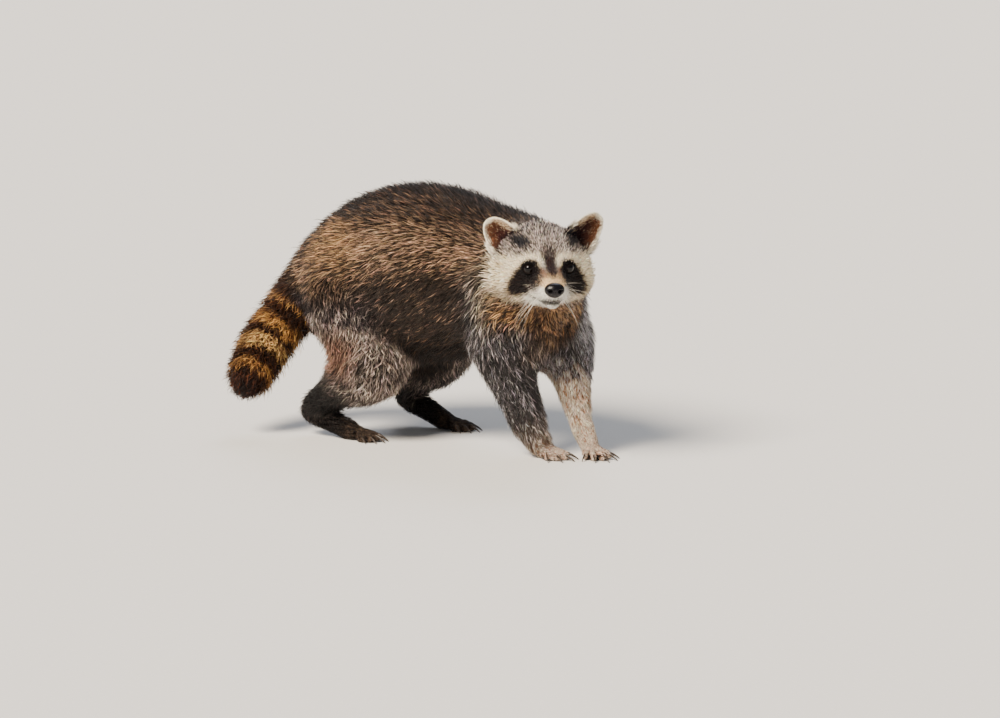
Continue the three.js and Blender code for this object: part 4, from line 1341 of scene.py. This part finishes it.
def growTufts(roots, fate, kind):
    # each hair runs along the lie of the coat, rises to its depth above the hide and wanders on its way
    shape, own = tuftShape, tuftKinds[kind]
    point, normal = roots["point"], roots["normal"]
    count = len(point)
    depth, length, _, width = roots["values"].T * mm
    curly = curliness(point)

    def between(name):
        smooth, curled = shape[name]
        return smooth + (curled - smooth) * curly

    low, high = own["depth"]
    tall, more = shape["tall"]
    tallest, others = chance.uniform(high, high + more, count), chance.uniform(low, high, count)
    depth = depth * np.where(fate < tall, tallest, others)
    wisps, nearest, farthest = shape["wisps"]
    wisps = wisps * np.maximum(curly, 2 * headShare(toHead(point)))
    wisp = (fate > tall) & (fate < tall + wisps)
    depth = depth * np.where(wisp, chance.uniform(nearest, farthest, count), 1)
    length = length * own["long"] * chance.uniform(*shape["length"], count)
    length = np.maximum(length, depth * shape["slope"])
    width = width * own["wide"] * chance.uniform(*shape["width"], count)
    curl = between("curl") * mm * np.minimum(depth / (shape["curlDepth"] * mm), 1)
    turn = np.radians(chance.normal(0, 1, count) * between("stray"))
    lean = waves(point, 30, 3) * math.radians(shape["clumpTurn"])
    pull = clumped(waves, point)
    point = point - normal * shape["buried"] * mm
    stages = [(point, normal, normal)]
    before, height = 0.0, np.full(count, -shape["buried"] * mm)
    for t in (*own["rings"], 1.0):
        flow = hideFlow[nearestOnHide(point)] + lean
        flow = unit(flow - dot(flow, normal) * normal)
        across = np.cross(normal, flow)
        flow = flow * np.cos(turn)[:, None] + across * np.sin(turn)[:, None]
        # the way along the hide is what the hair's length leaves beside its climb
        rise = depth * (1 - (1 - t) ** shape["rise"])
        step = length * (t - before)
        run = np.sqrt(np.maximum(step ** 2 - (rise - height) ** 2, (0.3 * step) ** 2))
        point = point + flow * run[:, None] + across * (chance.normal(0, 1, count) * curl)[:, None]
        slack = np.minimum(depth / (shape["clumpDepth"] * mm), 1.0) * (t - before) * shape["clumpPull"] * mm
        point = point + pull * slack[:, None]
        near = nearestOnHide(point)
        normal = unit(normal + 2 * hideNormals[near])
        above = dot(point - hidePoints[near], hideNormals[near])[:, 0]
        point = point + hideNormals[near] * (rise - above)[:, None]
        stages.append((point, normal, flow))
        before, height = t, rise
    return stages, width


def tuftFaces(count, rings):
    # triangles of the spindles: root, rings of three, tip
    each = 3 * rings + 2
    one = []
    for a, b in ((1, 2), (2, 3), (3, 1)):
        one.append((0, b, a))
        for p in range(0, 3 * (rings - 1), 3):
            one += [(a + p, b + p, b + p + 3), (a + p, b + p + 3, a + p + 3)]
        one.append((a + 3 * (rings - 1), b + 3 * (rings - 1), each - 1))
    return (np.arange(count)[:, None, None] * each + np.array(one)[None]).reshape(-1, 3)


def tuftMesh(name, stages, width, colours, rootUV, kind):
    # each tuft is a spindle: a root, one or two rings of three and a tip, the ridge of each ring outwards
    shape, own = tuftShape, tuftKinds[kind]
    count, rings = len(width), len(own["rings"])
    points = [stages[0][0]]
    for k in range(rings):
        behind, (middle, normal, _), ahead = stages[k][0], stages[k + 1], stages[k + 2][0]
        along = unit(ahead - behind)
        side = unit(np.cross(along, normal))
        up = np.cross(side, along)
        half = (width * own["widths"][k] / 2)[:, None]
        points += [middle - side * half, middle + up * half * 2 * shape["ridge"], middle + side * half]
    points = np.stack([*points, stages[-1][0]], 1)
    points[..., 2] = np.maximum(points[..., 2], 0.1 * mm)
    faces = tuftFaces(count, rings)
    piece = newPiece(name, points.reshape(-1, 3), faces, hairMaterial)
    paint(piece, "coatColour", colours.reshape(-1, 3))
    # the lock's own coordinates: across it, along it and a number that sets it apart
    across = np.array([0.5, *[0, 0.5, 1] * rings, 0.5])
    along = np.array([0, *np.repeat(own["rings"], 3), 1])
    seed = np.repeat(chance.random(count)[:, None], len(across), 1)
    lock = np.stack([np.tile(across, (count, 1)), np.tile(along, (count, 1)), seed], -1)
    layer = piece.data.attributes.new("lock", "FLOAT_VECTOR", "POINT")
    layer.data.foreach_set("vector", lock.astype(np.float32).ravel())
    patch = rootUV[:, None, :] + (np.stack([across, along], 1)[None] - 0.5) * shape["patch"]
    patch = np.clip(patch.reshape(-1, 2), 0, 1)
    uv = piece.data.uv_layers.new(name="OFBake")
    uv.data.foreach_set("uv", patch[faces.ravel()].astype(np.float32).ravel())


hairTones = {  # how far hairs differ, how dark short and long ones are at the root, and how strongly clump crests are painted lighter and partings darker
    "vary": (0.72, 1.28), "warmth": 0.05, "root": (0.75, 0.35), "blackTips": 0.14, "clumps": 0.22,
    "even": 0.15, "wander": 1.5, "long": (2.5, 8),  # the last two in millimetres
}


def tuftColours(stages, fate, kind):
    # long hairs are dark at the root and show their light or dark tone in the outer part; short ones are even
    marked, count, vary = stages[1][0], len(fate), hairTones
    onFace = headShare(toHead(marked)) > 0.5
    wander = chance.normal(0, vary["wander"], marked.shape) * mm * onFace[:, None]
    dark, light, share = markings(marked + wander)
    long = ease(*vary["long"], coatDepth(marked))[:, None]
    lightOne = (chance.random(count) < share)[:, None]
    tone = chance.uniform(*vary["vary"], count)[:, None] * (1 + chance.normal(0, vary["warmth"], (count, 3)))
    # painted light and shade: tufts on the crests of the clumps are lighter and those in the partings darker,
    # most where the coat is long
    crestLightPartingShade = np.clip(clumped(hills, stages[0][0]), -1.5, 1.5)[:, None]
    tone = tone * (1 + vary["clumps"] * crestLightPartingShade * (0.3 + 0.7 * long))
    own = np.where(lightOne, light, mix(dark, light, 0.1)) * tone
    pale = ease(0.12, 0.5, dark.mean(1, keepdims=True))
    depthTone = vary["root"][0] + (vary["root"][1] - vary["root"][0]) * long
    rootTone = mix(own, dark, 0.6 + 0.4 * long[:, 0]) * (depthTone + (0.9 - depthTone) * pale)
    even = mix(own, dark, vary["even"])
    if kind == "fine":
        middle = mix(even, mix(dark * 0.9, own, 0.42), long[:, 0])
        tones = [rootTone, *[middle] * 3, own]
    else:
        lower = mix(even, dark * 0.85, long[:, 0])
        blackTip = (fate > 1 - vary["blackTips"])[:, None] & lightOne & (share < 0.7)[:, None]
        tones = [rootTone, *[lower] * 3, *[own] * 3, np.where(blackTip, dark, own)]
    return np.clip(np.stack(tones, 1), 0, 1)


coatLayers = {"fine": 33000, "guard": 16500}  # tufts to a layer, which keeps each under 200,000 triangles


def growCoat():
    # every layer spreads over the whole animal, so that neighbouring tufts have room on its map
    scale = 1.0
    total = 0
    for kind, limit in coatLayers.items():
        spacing = hideValues[:, 2] * tuftKinds[kind]["apart"] * scale
        if kind == "guard":
            spacing = spacing + 40 * ease(6, 3, hideValues[:, 0])  # none on face and feet
        roots = scatterRoots(spacing)
        count = len(roots["point"])
        fate = chance.random(count)
        stages, width = growTufts(roots, fate, kind)
        colours = tuftColours(stages, fate, kind)
        layers = math.ceil(count / limit)
        for number in range(layers):
            members = np.arange(number, count, layers)
            part = [tuple(values[members] for values in stage) for stage in stages]
            own = (width[members], colours[members], roots["uv"][members])
            tuftMesh(f"coat_{kind}_{number + 1}", part, *own, kind)
        faces = count * 6 * len(tuftKinds[kind]["rings"])
        total += faces
        print(f"{kind} coat: {count} tufts in {layers} layers, {faces} triangles")
    return total


earHair = {  # count for both ears, length, width and lift in millimetres
    "back": (5000, 6, 0.8, 1.6), "rim": (7000, 3.4, 0.5, 0.6), "inside": (4600, 6, 0.45, 1.2),
    "base": (2400, 13, 0.8, 3.0),
}
earZones = {"inside": (0.12, 0.96, 0.4, math.pi - 0.4), "base": (0.1, 0.42, 0, 2 * math.pi)}  # up and round


def earPlaces(zone, count, rng):
    # how far up the ear and how far round it the hairs of a zone stand
    u = rng.random(count)
    if zone == "back":
        return np.sqrt(rng.random(count)) * 0.9, math.pi + np.arccos(0.86 * (1 - 2 * u))
    if zone == "rim":  # along the two edges and over the tip
        over = rng.random(count) < 0.36
        t = np.where(over, rng.uniform(0.9, 1.0, count), rng.random(count) ** 0.7 * 0.97)
        edge = np.where(u < 0.5, 0, math.pi) + rng.normal(0, 0.2, count)
        return t, np.where(over, 2 * math.pi * u, edge)
    low, high, first, last = earZones[zone]
    return rng.uniform(low, high, count), rng.uniform(first, last, count)


def earFrame(side, t, turn):
    # the way up the ear, the way out from its middle and the way out of its surface
    point = earSurface(side, t, turn)
    above = np.minimum(t + 1e-3, 1)
    rise = unit(earSurface(side, above, turn) - earSurface(side, above - 1e-3, turn))
    faces = [earSurface(side, t, np.full(len(t), angle)) for angle in (math.pi / 2, 1.5 * math.pi)]
    outward = unit(point - (faces[0] + faces[1]) / 2)
    facing = np.where(np.abs(np.sin(turn)) > 0.3, np.sign(np.sin(turn)), 0)[:, None]
    normal = unit(outward * (facing == 0) + 3 * facing * forward)
    return point, rise, outward, unit(normal - dot(normal, rise) * rise)


def growEarHair():
    # hair runs from the ear's root to its rim; long pale hairs lean in from the edge near the crown
    rng = np.random.default_rng(11)
    grown = []
    for side in (-1, 1):
        for zone, (amount, length, width, lift) in earHair.items():
            count = amount // 2
            t, turn = earPlaces(zone, count, rng)
            point, rise, outward, normal = earFrame(side, t, turn)
            if zone == "rim":
                flow = unit(rise + 0.7 * outward + 0.12 * rng.normal(size=(count, 3)))
                normal = unit(forward - dot(forward, flow) * flow)
            elif zone == "inside":
                leaning = rng.uniform(-0.2, 0.6, (count, 1)) * outward
                flow = unit(rise + leaning + 0.25 * rng.normal(size=(count, 3)))
            else:
                flow = unit(rise + 0.1 * outward + 0.15 * rng.normal(size=(count, 3)))
            # shorter towards the tip, but hardly so on the rim
            shrinks, stays = (0.1, 0.9) if zone == "rim" else (0.35, 0.65)
            reach = length * mm * rng.uniform(0.7, 1.15, (count, 1))
            reach = reach * (ease(1.06, 0.8, t)[:, None] * shrinks + stays)
            stages = [(point - normal * 0.3 * mm, normal, flow)]
            for share in (*tuftKinds["fine"]["rings"], 1.0):
                height = lift * mm * (1 - (1 - share) ** 2)
                stages.append((point + flow * reach * share + normal * height, normal, flow))
            own = earColour(side, t, turn)
            if zone == "inside":
                nearCrown = ease(0.1, 0.7, -side * np.cos(turn)) * ease(0.1, 0.3, t)
                own = mix(own, palette["earPale"], (rng.random(count) < 0.07 + 0.8 * nearCrown) * 0.75)
            if zone == "base":
                own = mix(own, palette["crownLight"], (np.sin(turn) < 0) * (rng.random(count) < 0.5))
            tone = rng.uniform(0.8, 1.2, (count, 1))
            tones = np.clip(np.hstack([own * 0.6, *[own * 0.9] * 3, own * tone]), 0, 1)
            widths = width * mm * rng.uniform(0.7, 1.2, (count, 1))
            # each ear has half of the map: round it across, and up it along
            angle = turn % (2 * math.pi) / (2 * math.pi)
            places = np.stack([0.02 + angle * 0.46 + 0.25 * (side + 1), 0.02 + 0.96 * t], 1)
            grown.append((np.array(stages), widths, tones, places))
    stages, widths, tones, places = (np.concatenate(rows, -2) for rows in zip(*grown))
    tuftMesh("coat_ears", stages, widths[:, 0], tones.reshape(-1, 5, 3), places, "fine")
    return len(widths) * 6


coatFaces = growCoat() + growEarHair()
print("coat:", coatFaces, "triangles")
setCamera()
setStudio()
